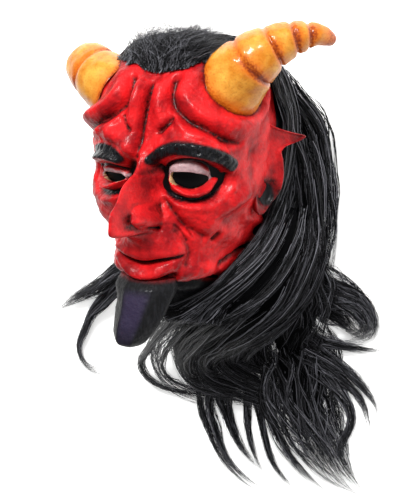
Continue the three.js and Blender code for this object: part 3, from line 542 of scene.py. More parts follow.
# Head
@dataclass
class HeadForm:
    """Head without its carving, and the strokes that carve it.

    Args:
        sections: y, half width, front z, back z and squareness of each section.
        strokes: the strokes.
        centre_z: height that the sections are drawn round.
        groove, groove_reach: depth and half width of the groove at each horn's edge.
        roll, roll_at, roll_reach: height of the roll outside it, how far out, and its half width.
    """

    sections: tuple = HEAD_SECTIONS
    strokes: tuple[Stroke, ...] = STROKES
    centre_z: float = HEAD_CENTRE_Z
    groove: float = 3.5
    groove_reach: float = 2.4
    roll: float = 3.0
    roll_at: float = 8.0
    roll_reach: float = 5.0

    def __post_init__(self) -> None:
        """Measures the way over the sections and lays the strokes on them."""
        rows = np.array(self.sections, float)
        step = np.hypot(np.hypot(*np.diff(rows[:, :2], axis=0).T), np.diff(rows[:, 2]))
        self.rows = rows
        self.runs = np.concatenate([[0], np.cumsum(step)])
        self.run_end = float(self.runs[-1])
        fine = np.linspace(0, self.run_end, 2000)
        self.fine_run, self.fine_y = fine, monotone(self.runs, rows[:, 0], fine)
        self.lines = [line for stroke in self.strokes for line in self.stroke_lines(stroke)]
        self.seats: list[Array] = []

    def section(self, run: Array) -> list[Array]:
        """y, half width, front z, back z and squareness at a run along the head."""
        return [monotone(self.runs, self.rows[:, k], run) for k in range(5)]

    def point(self, angle: Array, run: Array) -> Array:
        """Point of the bare head.

        Args:
            angle: angle from the front.
            run: way up the head from the neck rim.

        Returns:
            Points, x, y, z last.
        """
        y, half, front, back, square = self.section(run)
        centre = np.clip(self.centre_z, back + 1, front - 1)
        depth = np.where(np.cos(angle) > 0, front - centre, centre - back)
        sin, cos = np.abs(np.sin(angle)) / half, np.abs(np.cos(angle)) / depth
        reach = (sin ** square + cos ** square) ** (-1 / square)
        return np.stack([reach * np.sin(angle), y, centre + reach * np.cos(angle)], axis=-1)

    def normal(self, angle: Array, run: Array) -> Array:
        """Outward direction of the bare head.

        Args:
            angle: angle from the front.
            run: way up the head from the neck rim.

        Returns:
            Unit vectors.
        """
        small, turn = 0.5, 0.5 * math.pi / 180
        along = (self.point(angle, np.minimum(run + small, self.run_end - 0.01))
                 - self.point(angle, np.maximum(run - small, 0)))
        around = self.point(angle + turn, run) - self.point(angle - turn, run)
        return -unit(np.cross(along, around))

    def run_at(self, y: Array) -> Array:
        """Run along the head whose front has this y."""
        return np.interp(y, self.fine_y, self.fine_run)

    def in_front(self, xy: Sequence) -> Array:
        """Lifts points of the front view onto the head.

        Args:
            xy: points (x, y).

        Returns:
            Points (n, 3) of the head.
        """
        xy = np.asarray(xy, float)
        run = self.run_at(xy[:, 1])
        low, high = np.zeros(len(xy)), np.full(len(xy), 100 * math.pi / 180)
        for _ in range(40):
            middle = (low + high) / 2
            short = self.point(middle, run)[:, 0] < np.abs(xy[:, 0])
            low, high = np.where(short, middle, low), np.where(short, high, middle)
        found = self.point((low + high) / 2, run)
        found[:, 0] *= np.sign(xy[:, 0])
        return found

    def stroke_lines(self, stroke: Stroke) -> list[tuple[Stroke, Array]]:
        """A stroke's line on the head, and its mirrored twin where it has one.

        Args:
            stroke: the stroke.

        Returns:
            The stroke with each line, in rows of x, y, z, reach, height and paint reach.
        """
        at = np.array(stroke.at, float)
        rows = np.column_stack([at] + [np.broadcast_to(value, len(at)) for value in
                                       (stroke.reach, stroke.height, stroke.paint_reach)])
        rows = smooth_line(rows, 4 * len(rows) - 3) if len(rows) > 2 else rows
        line = np.column_stack([self.in_front(rows[:, :2]), rows[:, 2:]])
        twin = line * (-1, 1, 1, 1, 1, 1)
        return [(stroke, line)] if stroke.across else [(stroke, line), (stroke, twin)]

    def near(self, points: Array, line: Array) -> tuple[Array, Array]:
        """How near points are to a line.

        Args:
            points: points (n, 3).
            line: points of the line.

        Returns:
            Distance from the line, and place along it counted in its points.
        """
        best, place = np.full(len(points), np.inf), np.zeros(len(points))
        for i in range(max(len(line) - 1, 1)):
            a, b = line[i], line[min(i + 1, len(line) - 1)]
            span = b - a
            t = np.clip((points - a) @ span / max(float(span @ span), 1e-6), 0, 1)
            far = np.linalg.norm(points - a - t[:, None] * span, axis=1)
            closer = far < best
            best, place = np.where(closer, far, best), np.where(closer, i + t, place)
        return best, place

    def carve(self, points: Array) -> tuple[Array, Array, Array]:
        """Carving and paint at points of the bare head.

        Args:
            points: points (n, 3).

        Returns:
            Height over the head, black cover, and dark wash that also paints the shade in creases and round
            the horns.
        """
        height, black, wash = np.zeros(len(points)), np.zeros(len(points)), np.zeros(len(points))
        for stroke, line in self.lines:
            margin = 3 * max(line[:, 3].max(), line[:, 5].max())
            low, high = line[:, :3].min(axis=0) - margin, line[:, :3].max(axis=0) + margin
            close = np.flatnonzero(((points > low) & (points < high)).all(axis=1))
            far, place = self.near(points[close], line[:, :3])
            reach, lift, paint = (np.interp(place, np.arange(len(line)), line[:, k]) for k in (3, 4, 5))
            height[close] += lift * np.exp(-((far / reach) ** stroke.crisp))
            if stroke.paint is Paint.BLACK:
                cover = stroke.cover * (1 - smoothstep(far / paint, 0.75, 1.1))
                black[close] = np.maximum(black[close], cover)
            elif stroke.paint is Paint.WASH_AND_SHADE:
                wash[close] = np.maximum(wash[close], stroke.cover * np.exp(-((far / paint) ** 2)))
        for line in self.seats:
            far, _ = self.near(points, line)
            low = 1 - smoothstep(points[:, 1], 216, 232)
            height += low * self.roll * np.exp(-(((far - self.roll_at) / self.roll_reach) ** 2))
            height -= low * self.groove * np.exp(-((far / self.groove_reach) ** 2))
            # a dark line round each horn's seat: painted shadow of the gap at the horn's edge
            wash = np.maximum(wash, 0.95 * np.exp(-((far / 2.2) ** 2)))
        return height, black, wash

    def beside(self, points: Array) -> list[Array]:
        """Measures the head's section beside points.

        Args:
            points: points (n, 3).

        Returns:
            Run, half width, front z, back z, squareness and centre z.
        """
        run = self.run_at(np.clip(points[:, 1], NECK_RIM_Y, CROWN_Y - 1))
        _, half, front, back, square = self.section(run)
        return [run, half, front, back, square, np.clip(self.centre_z, back + 1, front - 1)]

    def share(self, points: Array, clearance: Array | float) -> Array:
        """How far out points lie.

        Args:
            points: points (n, 3).
            clearance: gap over the head.

        Returns:
            0 on the middle line, 1 at the clearance, 2 beyond the head's ends.
        """
        _, half, front, back, square, centre = self.beside(points)
        depth = np.where(points[:, 2] > centre, front - centre, centre - back) + clearance
        side = np.abs(points[:, 0]) / (half + clearance)
        up = np.abs(points[:, 2] - centre) / depth
        share = (side ** square + up ** square) ** (1 / square)
        beyond = (points[:, 1] < NECK_RIM_Y - 2) | (points[:, 1] > CROWN_Y + clearance)
        return np.where(beyond, 2.0, share)

    def skin_height(self, points: Array) -> Array:
        """Height of the carving under points.

        Args:
            points: points (n, 3).

        Returns:
            Heights.
        """
        run, *_, centre = self.beside(points)
        return self.carve(self.point(np.arctan2(points[:, 0], points[:, 2] - centre), run))[0]

    def push_out(self, points: Array, clearance: Array | float) -> Array:
        """Moves points that lie inside the head, or too near it, out of it.

        Args:
            points: points (n, 3).
            clearance: gap over the head.

        Returns:
            The points.
        """
        share = self.share(points, clearance)
        *_, centre = self.beside(points)
        scale = np.where(share < 1, 1 / np.maximum(share, 0.05), 1)
        return np.stack([points[:, 0] * scale, points[:, 1],
                         centre + (points[:, 2] - centre) * scale], axis=1)


def polygon_distance(xy: Array, outline: Array) -> Array:
    """Distance from points to a closed outline.

    Args:
        xy: points (x, y).
        outline: its corners.

    Returns:
        Distances, negative inside.
    """
    best = np.full(len(xy), np.inf)
    inside = np.zeros(len(xy), bool)
    for a, b in zip(outline, np.roll(outline, -1, axis=0)):
        span = b - a
        t = np.clip((xy - a) @ span / max(float(span @ span), 1e-9), 0, 1)
        best = np.minimum(best, np.linalg.norm(xy - a - t[:, None] * span, axis=1))
        crosses = (a[1] > xy[:, 1]) != (b[1] > xy[:, 1])
        slope = (xy[:, 1] - a[1]) * (b[0] - a[0]) / np.where(b[1] == a[1], 1e-9, b[1] - a[1]) + a[0]
        inside ^= crosses & (xy[:, 0] < slope)
    return np.where(inside, -best, best)


# Finishes
def linear(colour: str) -> tuple[float, float, float, float]:
    """Linear colour of an sRGB hex value such as "c8141c"."""
    parts = [int(colour[k:k + 2], 16) / 255 for k in (0, 2, 4)]
    return (*(c / 12.92 if c <= 0.04045 else ((c + 0.055) / 1.055) ** 2.4 for c in parts), 1.0)


def spacing(size: float) -> float:
    """Scale of a noise whose lumps are about a size apart."""
    return 1 / (size * MM)


def add_node(tree: bpy.types.NodeTree, kind: str, values: dict | None = None, links: dict | None = None,
             **settings: str | bool) -> bpy.types.Node:
    """Adds one shader node.

    Args:
        tree: the material's node tree.
        kind: type of the node, without its leading "ShaderNode".
        values: default value of inputs, by name or number.
        links: what each of these inputs takes, by name or number: a socket, or a node for its first.
        settings: properties of the node.

    Returns:
        The new node.
    """
    node = tree.nodes.new("ShaderNode" + kind)
    for name, value in settings.items():
        setattr(node, name, value)
    for name, value in (values or {}).items():
        node.inputs[name].default_value = value
    for name, source in (links or {}).items():
        socket = source.outputs[0] if isinstance(source, bpy.types.Node) else source
        tree.links.new(socket, node.inputs[name])
    return node


@dataclass(frozen=True)
class Finish:
    """A finish, made into a material once and then shared.

    Args:
        name: name of the material.
        slot: material slot of the record that it belongs to; not used.
    """

    name: str
    slot: str = ""

    def material(self) -> bpy.types.Material:
        """Finds the material, or makes it at its first use.

        Returns:
            The material.
        """
        made = bpy.data.materials.get(self.name)
        if made is not None:
            return made
        made = bpy.data.materials.new(self.name)
        made.use_nodes = True
        made.node_tree.nodes.clear()
        shader = self.shader(made.node_tree)
        add_node(made.node_tree, "OutputMaterial", links={"Surface": shader})
        return made

    def shader(self, tree: bpy.types.NodeTree) -> bpy.types.Node:
        """Adds the finish's nodes and gives back the last one."""
        raise NotImplementedError


@dataclass(frozen=True)
class PaintedLatex(Finish):
    """Slush-cast latex, brushed with glossy red paint, a dark wash in its creases that paints their shade.

    The eye sees wet-looking red with soft pink lights, dull dark creases, and black brows,
    eye rims and chin laid over the red by brush. The dark creases and the black round the eyes,
    nostrils and mouth line are painted shade as well.
    """

    light_red: str = "d41a1e"
    deep_red: str = "840810"
    wash: str = "2c0808"
    black: str = "0b0b0d"
    grey: str = "1b1b1f"
    violet: str = "2f2640"
    eyeball: str = "cdaeac"
    eyeball_edge: str = "6c4c5a"

    def shader(self, tree: bpy.types.NodeTree) -> bpy.types.Node:
        """Adds the paint layers, their gloss and the cast surface's grain.

        Args:
            tree: the material's node tree.

        Returns:
            The surface shader.
        """
        add = partial(add_node, tree)
        place = add("TexCoord").outputs["Object"]
        # 22 mm patches where the red was laid on thin or thick
        patch = add("TexNoise", {"Scale": spacing(22.2), "Detail": 4, "Roughness": 0.6}, {"Vector": place})
        red = add("Mix", {6: linear(self.deep_red), 7: linear(self.light_red)},
                  {0: add("MapRange", {1: 0.35, 2: 0.62}, {0: patch})}, data_type="RGBA")
        # 3 mm smudges break the edge of the wash and its painted shade, as a brush does
        smudge = add("TexNoise", {"Scale": spacing(3), "Detail": 5, "Roughness": 0.65}, {"Vector": place})
        rub = add("MapRange", {1: 0.3, 2: 0.7, 3: 0.45, 4: 1.3}, {0: smudge})
        # the wash darkens creases, hollows and the horns' seats: painted shade
        wash_and_shade_cover = add("Attribute", attribute_name="wash")
        cover = add("Math", links={0: rub, 1: wash_and_shade_cover.outputs["Fac"]}, operation="MULTIPLY",
                    use_clamp=True)
        washed_and_shaded = add("Mix", {7: linear(self.wash)}, {0: cover, 6: red.outputs[2]}, data_type="RGBA")
        # brush marks 1.4 mm wide and 11 mm long on the chin and brows
        stretched = add("VectorMath", {1: (spacing(1.4), spacing(11), spacing(2.9))}, {0: place},
                        operation="MULTIPLY")
        marks = add("TexNoise", {"Scale": 1.0, "Detail": 3}, {"Vector": stretched})
        dark = add("Mix", {6: linear(self.black), 7: linear(self.grey)},
                   {0: add("MapRange", {1: 0.42, 2: 0.72}, {0: marks})}, data_type="RGBA")
        violet_cover = add("Attribute", attribute_name="violet")
        tinted = add("Mix", {7: linear(self.violet)}, {0: violet_cover.outputs["Fac"], 6: dark.outputs[2]},
                     data_type="RGBA")
        black_cover = add("Attribute", attribute_name="black")
        painted = add("Mix", links={0: black_cover.outputs["Fac"], 6: washed_and_shaded.outputs[2],
                                    7: tinted.outputs[2]}, data_type="RGBA")
        eye_tone = add("Mix", {6: linear(self.eyeball_edge), 7: linear(self.eyeball)}, {0: smudge},
                       data_type="RGBA")
        eye_cover = add("Attribute", attribute_name="eye")
        colour = add("Mix", links={0: eye_cover.outputs["Fac"], 6: painted.outputs[2],
                                   7: eye_tone.outputs[2]}, data_type="RGBA")
        # cast surface: dents 2.5 mm wide and a grain of 0.7 mm from the plaster mould
        dents = add("TexNoise", {"Scale": spacing(2.5), "Detail": 2}, {"Vector": place})
        grain = add("TexNoise", {"Scale": spacing(0.7), "Detail": 2}, {"Vector": place})
        rough = add("MapRange", {1: 0.3, 2: 0.7, 3: 0.34, 4: 0.56}, {0: dents})
        low = add("Bump", {"Strength": 0.8, "Distance": 0.0009}, {"Height": dents})
        fine = add("Bump", {"Strength": 0.4, "Distance": 0.0002}, {"Height": grain, "Normal": low})
        # the brows and the lines round the eyes are a thick gloss enamel, the chin beard is dull
        shine = add("Attribute", attribute_name="shine")
        rough = add("Math", {1: -0.2}, {0: shine.outputs["Fac"], 2: rough}, operation="MULTIPLY_ADD")
        return add("BsdfPrincipled", {"IOR": 1.35, "Specular IOR Level": 0.25, "Coat Weight": 0.1,
                                      "Coat Roughness": 0.15, "Subsurface Weight": 0.06,
                                      "Subsurface Radius": (0.004, 0.001, 0.001), "Subsurface Scale": 1.0},
                   {"Base Color": colour.outputs[2], "Roughness": rough, "Normal": fine})


@dataclass(frozen=True)
class BareLatex(Finish):
    """Unpainted latex inside the cast and on its cut edges: dull cream, darker in its runs."""

    colour: str = "cfa878"
    deep: str = "8f6a4a"

    def shader(self, tree: bpy.types.NodeTree) -> bpy.types.Node:
        """Adds the cream, its runs and its dull skin.

        Args:
            tree: the material's node tree.

        Returns:
            The surface shader.
        """
        add = partial(add_node, tree)
        place = add("TexCoord").outputs["Object"]
        # runs of liquid latex, about 12 mm apart
        runs = add("TexNoise", {"Scale": spacing(12), "Detail": 4}, {"Vector": place})
        tone = add("Mix", {6: linear(self.deep), 7: linear(self.colour)}, {0: runs}, data_type="RGBA")
        bump = add("Bump", {"Strength": 0.4, "Distance": 0.0005}, {"Height": runs})
        return add("BsdfPrincipled", {"Roughness": 0.6, "IOR": 1.5},
                   {"Base Color": tone.outputs[2], "Normal": bump})


@dataclass(frozen=True)
class PaintedHorn(Finish):
    """Hollow latex horn, sprayed cream and brushed with orange in its ring grooves, then varnished.

    The eye sees a creamy yellow with orange rings that fade off towards the tip side, all
    under a glassy varnish with small sharp lights. The dark bottoms of the grooves and the dark line at the
    base are painted shade.
    """

    cream: str = "bd7318"
    pale: str = "d89d3e"
    orange: str = "c65606"
    # dark brown over the groove bottoms, the base edge and the tip: painted shade in the grooves and at the
    # base
    pool: str = "742602"
    brown: str = "8f5212"

    def shader(self, tree: bpy.types.NodeTree) -> bpy.types.Node:
        """Adds the cream, the orange rings and the varnish.

        Args:
            tree: the material's node tree.

        Returns:
            The surface shader.
        """
        add = partial(add_node, tree)
        place = add("TexCoord").outputs["Object"]
        # clouds of 14 mm and fibres of 1.8 mm, left by the brush
        cloud = add("TexNoise", {"Scale": spacing(14.3), "Detail": 5, "Roughness": 0.6}, {"Vector": place})
        fibre = add("TexNoise", {"Scale": spacing(1.8), "Detail": 4}, {"Vector": place})
        base = add("Mix", {6: linear(self.cream), 7: linear(self.pale)},
                   {0: add("MapRange", {1: 0.35, 2: 0.65}, {0: cloud})}, data_type="RGBA")
        stain = add("MapRange", {1: 0.52, 2: 0.8, 3: 0.0, 4: 0.6}, {0: fibre})
        stained = add("Mix", {7: linear(self.brown)}, {0: stain, 6: base.outputs[2]}, data_type="RGBA")
        ring = add("Attribute", attribute_name="ring")
        worn = add("MapRange", {1: 0.25, 2: 0.75, 3: 0.75, 4: 1.25}, {0: fibre})
        cover = add("Math", links={0: worn, 1: ring.outputs["Fac"]}, operation="MULTIPLY", use_clamp=True)
        ringed = add("Mix", {7: linear(self.orange)}, {0: cover, 6: stained.outputs[2]}, data_type="RGBA")
        # darkest where the orange lies thickest, in the bottom of each groove, at the base edge and near the
        # tip; in the grooves and at the base edge this is painted shade
        pooled_and_shaded = add("MapRange", {1: 0.62, 2: 1.0, 3: 0.0, 4: 0.95}, {0: cover})
        colour = add("Mix", {7: linear(self.pool)}, {0: pooled_and_shaded, 6: ringed.outputs[2]}, data_type="RGBA")
        low = add("Bump", {"Strength": 0.4, "Distance": 0.0006}, {"Height": cloud})
        fine = add("Bump", {"Strength": 0.35, "Distance": 0.00035}, {"Height": fibre, "Normal": low})
        return add("BsdfPrincipled", {"Roughness": 0.42, "IOR": 1.35, "Specular IOR Level": 0.3,
                                      "Coat Weight": 0.35, "Coat Roughness": 0.1, "Subsurface Weight": 0.08,
                                      "Subsurface Radius": (0.004, 0.002, 0.001), "Subsurface Scale": 1.0},
                   {"Base Color": colour.outputs[2], "Normal": fine})


@dataclass(frozen=True)
class WigFibre(Finish):
    """Drawn synthetic wig fibre: near black, with a grey sheen running across each bend, and a few strands
    painted pale as painted glints.

    Args:
        root: colour of the darkest fibres.
        painted_glint: colour of the palest ones.
        roughness: how widely the sheen spreads.
        gloss: how strong it is.
    """

    root: str = "050506"
    painted_glint: str = "8c8c94"
    roughness: float = 0.34
    gloss: float = 0.12

    def shader(self, tree: bpy.types.NodeTree) -> bpy.types.Node:
        """Adds the tone of each strand and a gloss spread across the fibre.

        Args:
            tree: the material's node tree.

        Returns:
            The surface shader.
        """
        add = partial(add_node, tree)
        # each strand's tone mixes from the root colour towards the pale glint colour: the few pale strands
        # are painted glints
        tone = add("Attribute", attribute_name="tone")
        colour = add("Mix", {6: linear(self.root), 7: linear(self.painted_glint)}, {0: tone.outputs["Fac"]},
                     data_type="RGBA")
        place = add("UVMap", uv_map="UVMap")
        # real fibres, under 0.1 mm, are too fine to show: nine run side by side on each lock
        across = add("VectorMath", {1: (9, 0.4, 1)}, {0: place}, operation="MULTIPLY")
        fibres = add("TexNoise", {"Scale": 3.0, "Detail": 2}, {"Vector": across})
        bump = add("Bump", {"Strength": 0.6, "Distance": 0.0005}, {"Height": fibres})
        turn = add("Tangent", direction_type="UV_MAP", uv_map="UVMap")
        return add("BsdfPrincipled", {"Roughness": self.roughness, "IOR": 1.45, "Anisotropic": 0.6,
                                      "Specular IOR Level": self.gloss}, {"Base Color": colour.outputs[2],
                                                                          "Normal": bump, "Tangent": turn})


@dataclass(frozen=True)
class PaintedFloor(Finish):
    """Matt white floor paint, rolled on: a plain pale ground with faint contact shadows.

    It glows a little, so that its shadows stay as pale as the photograph's.
    """

    colour: str = "fbfbfa"
    glow: float = 0.62

    def shader(self, tree: bpy.types.NodeTree) -> bpy.types.Node:
        """Adds the matt white.

        Args:
            tree: the material's node tree.

        Returns:
            The surface shader.
        """
        add = partial(add_node, tree)
        place = add("TexCoord").outputs["Object"]
        roller = add("TexNoise", {"Scale": spacing(2.5), "Detail": 2}, {"Vector": place})
        bump = add("Bump", {"Strength": 0.02, "Distance": 0.0001}, {"Height": roller})
        return add("BsdfPrincipled", {"Base Color": linear(self.colour), "Roughness": 0.9,
                                      "Specular IOR Level": 0.1, "Emission Color": linear(self.colour),
                                      "Emission Strength": self.glow}, {"Normal": bump})


LATEX = PaintedLatex("painted_latex", "latex")
BARE = BareLatex("bare_latex", "latex")
HORN = PaintedHorn("painted_horn", "horn")
FIBRE = WigFibre("wig_fibre", "hair")
WEFT = WigFibre("wig_weft", "hair", painted_glint="0c0c0e", roughness=0.8, gloss=0.03)
FLOOR = PaintedFloor("painted_floor")


def place_piece(obj: bpy.types.Object, node: str) -> None:
    """Makes an object ride on the mask in place of the part that it stands for.

    Args:
        obj: the object.
        node: node that it stands for.
    """
    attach(obj, "root")
    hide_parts(node)
    LOG.info("%s: %d faces", obj.name, len(obj.data.polygons))


# Horns and mask
@dataclass
class Horn:
    """A ringed horn, set on the skin.

    Args:
        form: the head it stands on.
        side: 1 for the mask's left horn, -1 for its right one.
        middle: points of the left horn's middle line.
        grooves: share of the length and half width at each ring groove.
        length: its length.
        swell: swelling between the grooves, against the half width.
        groove, groove_reach: depth and half width of a groove.
        blunt: share of the length where the tip begins to round off.
        sunk: how far the horn stands in the skin.
        axis, droop, shift: how it is turned and moved from the left one's place.
        girth: its thickness against the left one's.
        ring_shift, width_shift: powers that move its grooves and widths along it.
        rings: rings of points along the horn.
        sides: points round each ring.
    """

    form: HeadForm
    side: int
    middle: tuple = HORN_LINE
    grooves: tuple = HORN_RINGS
    length: float = 126.0
    swell: float = 0.045
    groove: float = 1.7
    groove_reach: float = 1.8
    blunt: float = 0.975
    sunk: float = 2.5
    axis: tuple = (0, 0, 1)
    droop: float = 0.0
    shift: tuple = (0, 0, 0)
    girth: float = 1.0
    ring_shift: float = 1.0
    width_shift: float = 1.0
    rings: int = 130
    sides: int = 68

    def __post_init__(self) -> None:
        """Lays out the middle line, the directions across it and the grooves."""
        line = np.array(self.middle, float)
        turn = np.array(Matrix.Rotation(self.droop, 3, Vector(self.axis).normalized()))
        self.line = smooth_line((line - line[1]) @ turn.T + line[1] + self.shift, 240)
        self.tangent = unit(np.gradient(self.line, axis=0))
        self.across = unit(np.cross((0, 0, 1), self.tangent))
        self.over = np.cross(self.tangent, self.across)
        places, self.widths = np.array(self.grooves).T
        self.places, self.width_places = places ** self.ring_shift, places ** self.width_shift

    def radius(self, at: Array) -> Array:
        """Half width of the horn, with its swellings and grooves.

        Args:
            at: shares of its length.

        Returns:
            Half widths.
        """
        places = self.places
        width = np.interp(at, self.width_places, self.widths)
        k = np.clip(np.searchsorted(places, at, side="right") - 1, 0, len(places) - 2)
        t = np.clip((at - places[k]) / (places[k + 1] - places[k]), 0, 1)
        swell = 1 + self.swell * np.sin(math.pi * t ** 1.3) ** 0.7
        close = np.abs(at[..., None] - places[1:-1]) * self.length
        groove = (self.groove * np.exp(-((close / self.groove_reach) ** 2))).sum(axis=-1)
        end = np.sqrt(np.clip(1 - ((at - self.blunt) / (1 - self.blunt)) ** 2, 0, 1))
        return (width * swell - groove) * self.girth * np.where(at > self.blunt, end, 1)

    def surface(self, at: Array, angle: Array) -> Array:
        """Points of the horn's skin.

        Args:
            at: shares of its length.
            angle: angles round it.

        Returns:
            Points, x, y, z last.
        """
        reach = self.radius(at)[..., None]
        points = (sampled(self.line, at) + sampled(self.across, at) * reach * np.cos(angle)[..., None]
                  + sampled(self.over, at) * reach * np.sin(angle)[..., None])
        return points * (self.side, 1, 1)

    def seat(self) -> Array:
        """Finds where the horn leaves the mask's skin.

        Returns:
            Share of its length at each side.
        """
        at = np.linspace(0, 0.6, 121)
        angle = full_turn(self.sides)
        grid_at, grid_angle = np.meshgrid(at, angle)
        points = self.surface(grid_at, grid_angle).reshape(-1, 3)
        inside = self.form.share(points, self.form.skin_height(points)) < 1
        inside = inside.reshape(self.sides, -1)
        last = np.where(inside.any(axis=1), len(at) - 1 - inside[:, ::-1].argmax(axis=1), 0)
        found = at[last]
        for _ in range(3):
            found = (found + np.roll(found, 1) + np.roll(found, -1)) / 3
        return found

    def seat_line(self) -> Array:
        """The closed line on the mask's skin where the horn stands.

        Returns:
            Points (n, 3).
        """
        angle = full_turn(self.sides)
        line = self.surface(self.seat(), angle)
        return np.vstack([line, line[:1]])[::3]

    def ring_paint(self, at: Array, start: Array, angle: Array) -> Array:
        """Orange paint: in each groove, over its tip side, and at the base edge.

        Args:
            at: shares of the length.
            start: share where the horn leaves the skin.
            angle: angles round it.

        Returns:
            Cover from 0 to 1.
        """
        away = (at[..., None] - self.places[1:-1]) * self.length
        paint = np.where(away > 0, np.exp(-((away / 7) ** 2)), np.exp(-((away / 3.4) ** 2))).max(axis=-1)
        # the thick paint at the base edge is darkened in the shader: painted shadow of the gap round the seat
        edge = np.exp(-(((at - start) * self.length / 9) ** 2))
        far = smoothstep(at, 0.8, 0.95) * 0.8
        streak = 0.8 + 0.2 * np.cos(angle * 2 + 4 * at)
        return np.clip(np.maximum.reduce([paint * streak, edge * 0.95, far]), 0, 1)

    def build(self) -> None:
        """Builds the horn as one closed mesh from the skin to its blunt tip."""
        start = self.seat() - self.sunk / self.length
        t = np.linspace(0, 1, self.rings)[:, None]
        at = start[None, :] * (1 - t) + t
        angle = np.broadcast_to(full_turn(self.sides), at.shape)
        points = self.surface(at, angle)
        centre = points.mean(axis=1, keepdims=True)
        outward = unit(points - centre)
        flat = points.reshape(-1, 3)
        lumps = 1.3 * noise(flat, 17, 11) + 0.5 * noise(flat, 6, 12) + 0.12 * noise(flat, 2.5, 13)
        points = points + outward * lumps.reshape(at.shape)[..., None]
        under = []
        for share in (0.1, 0.4, 0.7, 0.9):
            ring = centre[0] + (points[0] - centre[0]) * share
            under.append(self.form.push_out(ring, -1.2))
        rings = np.concatenate([np.stack(under), points])
        paint = np.concatenate([np.ones((4, self.sides)), self.ring_paint(at, start[None, :], angle)])
        if self.side < 0:
            rings, paint = rings[:, ::-1], paint[:, ::-1]
        node = "left_horn" if self.side > 0 else "right_horn"
        piece = Piece(node + "_ringed")
        loft(piece, rings, ring=paint)
        place_piece(piece.build(HORN), node)

    def push_out(self, points: Array, clearance: float) -> Array:
        """Moves points that lie inside the horn out of it.

        Args:
            points: points (n, 3).
            clearance: gap kept from the horn.

        Returns:
            The points.
        """
        line = self.line[::6] * (self.side, 1, 1)
        reach = self.radius(np.linspace(0, 1, len(self.line)))[::6] + clearance
        out = points.copy()
        box = (points > line.min(axis=0) - 35).all(axis=1) & (points < line.max(axis=0) + 35).all(axis=1)
        near = out[box]
        away = near[:, None, :] - line[None, :, :]
        far = np.linalg.norm(away, axis=2) - reach
        k = far.argmin(axis=1)
        row = np.arange(len(near))
        short = np.minimum(far[row, k], 0)
        out[box] = near - unit(away[row, k]) * short[:, None]
        return out


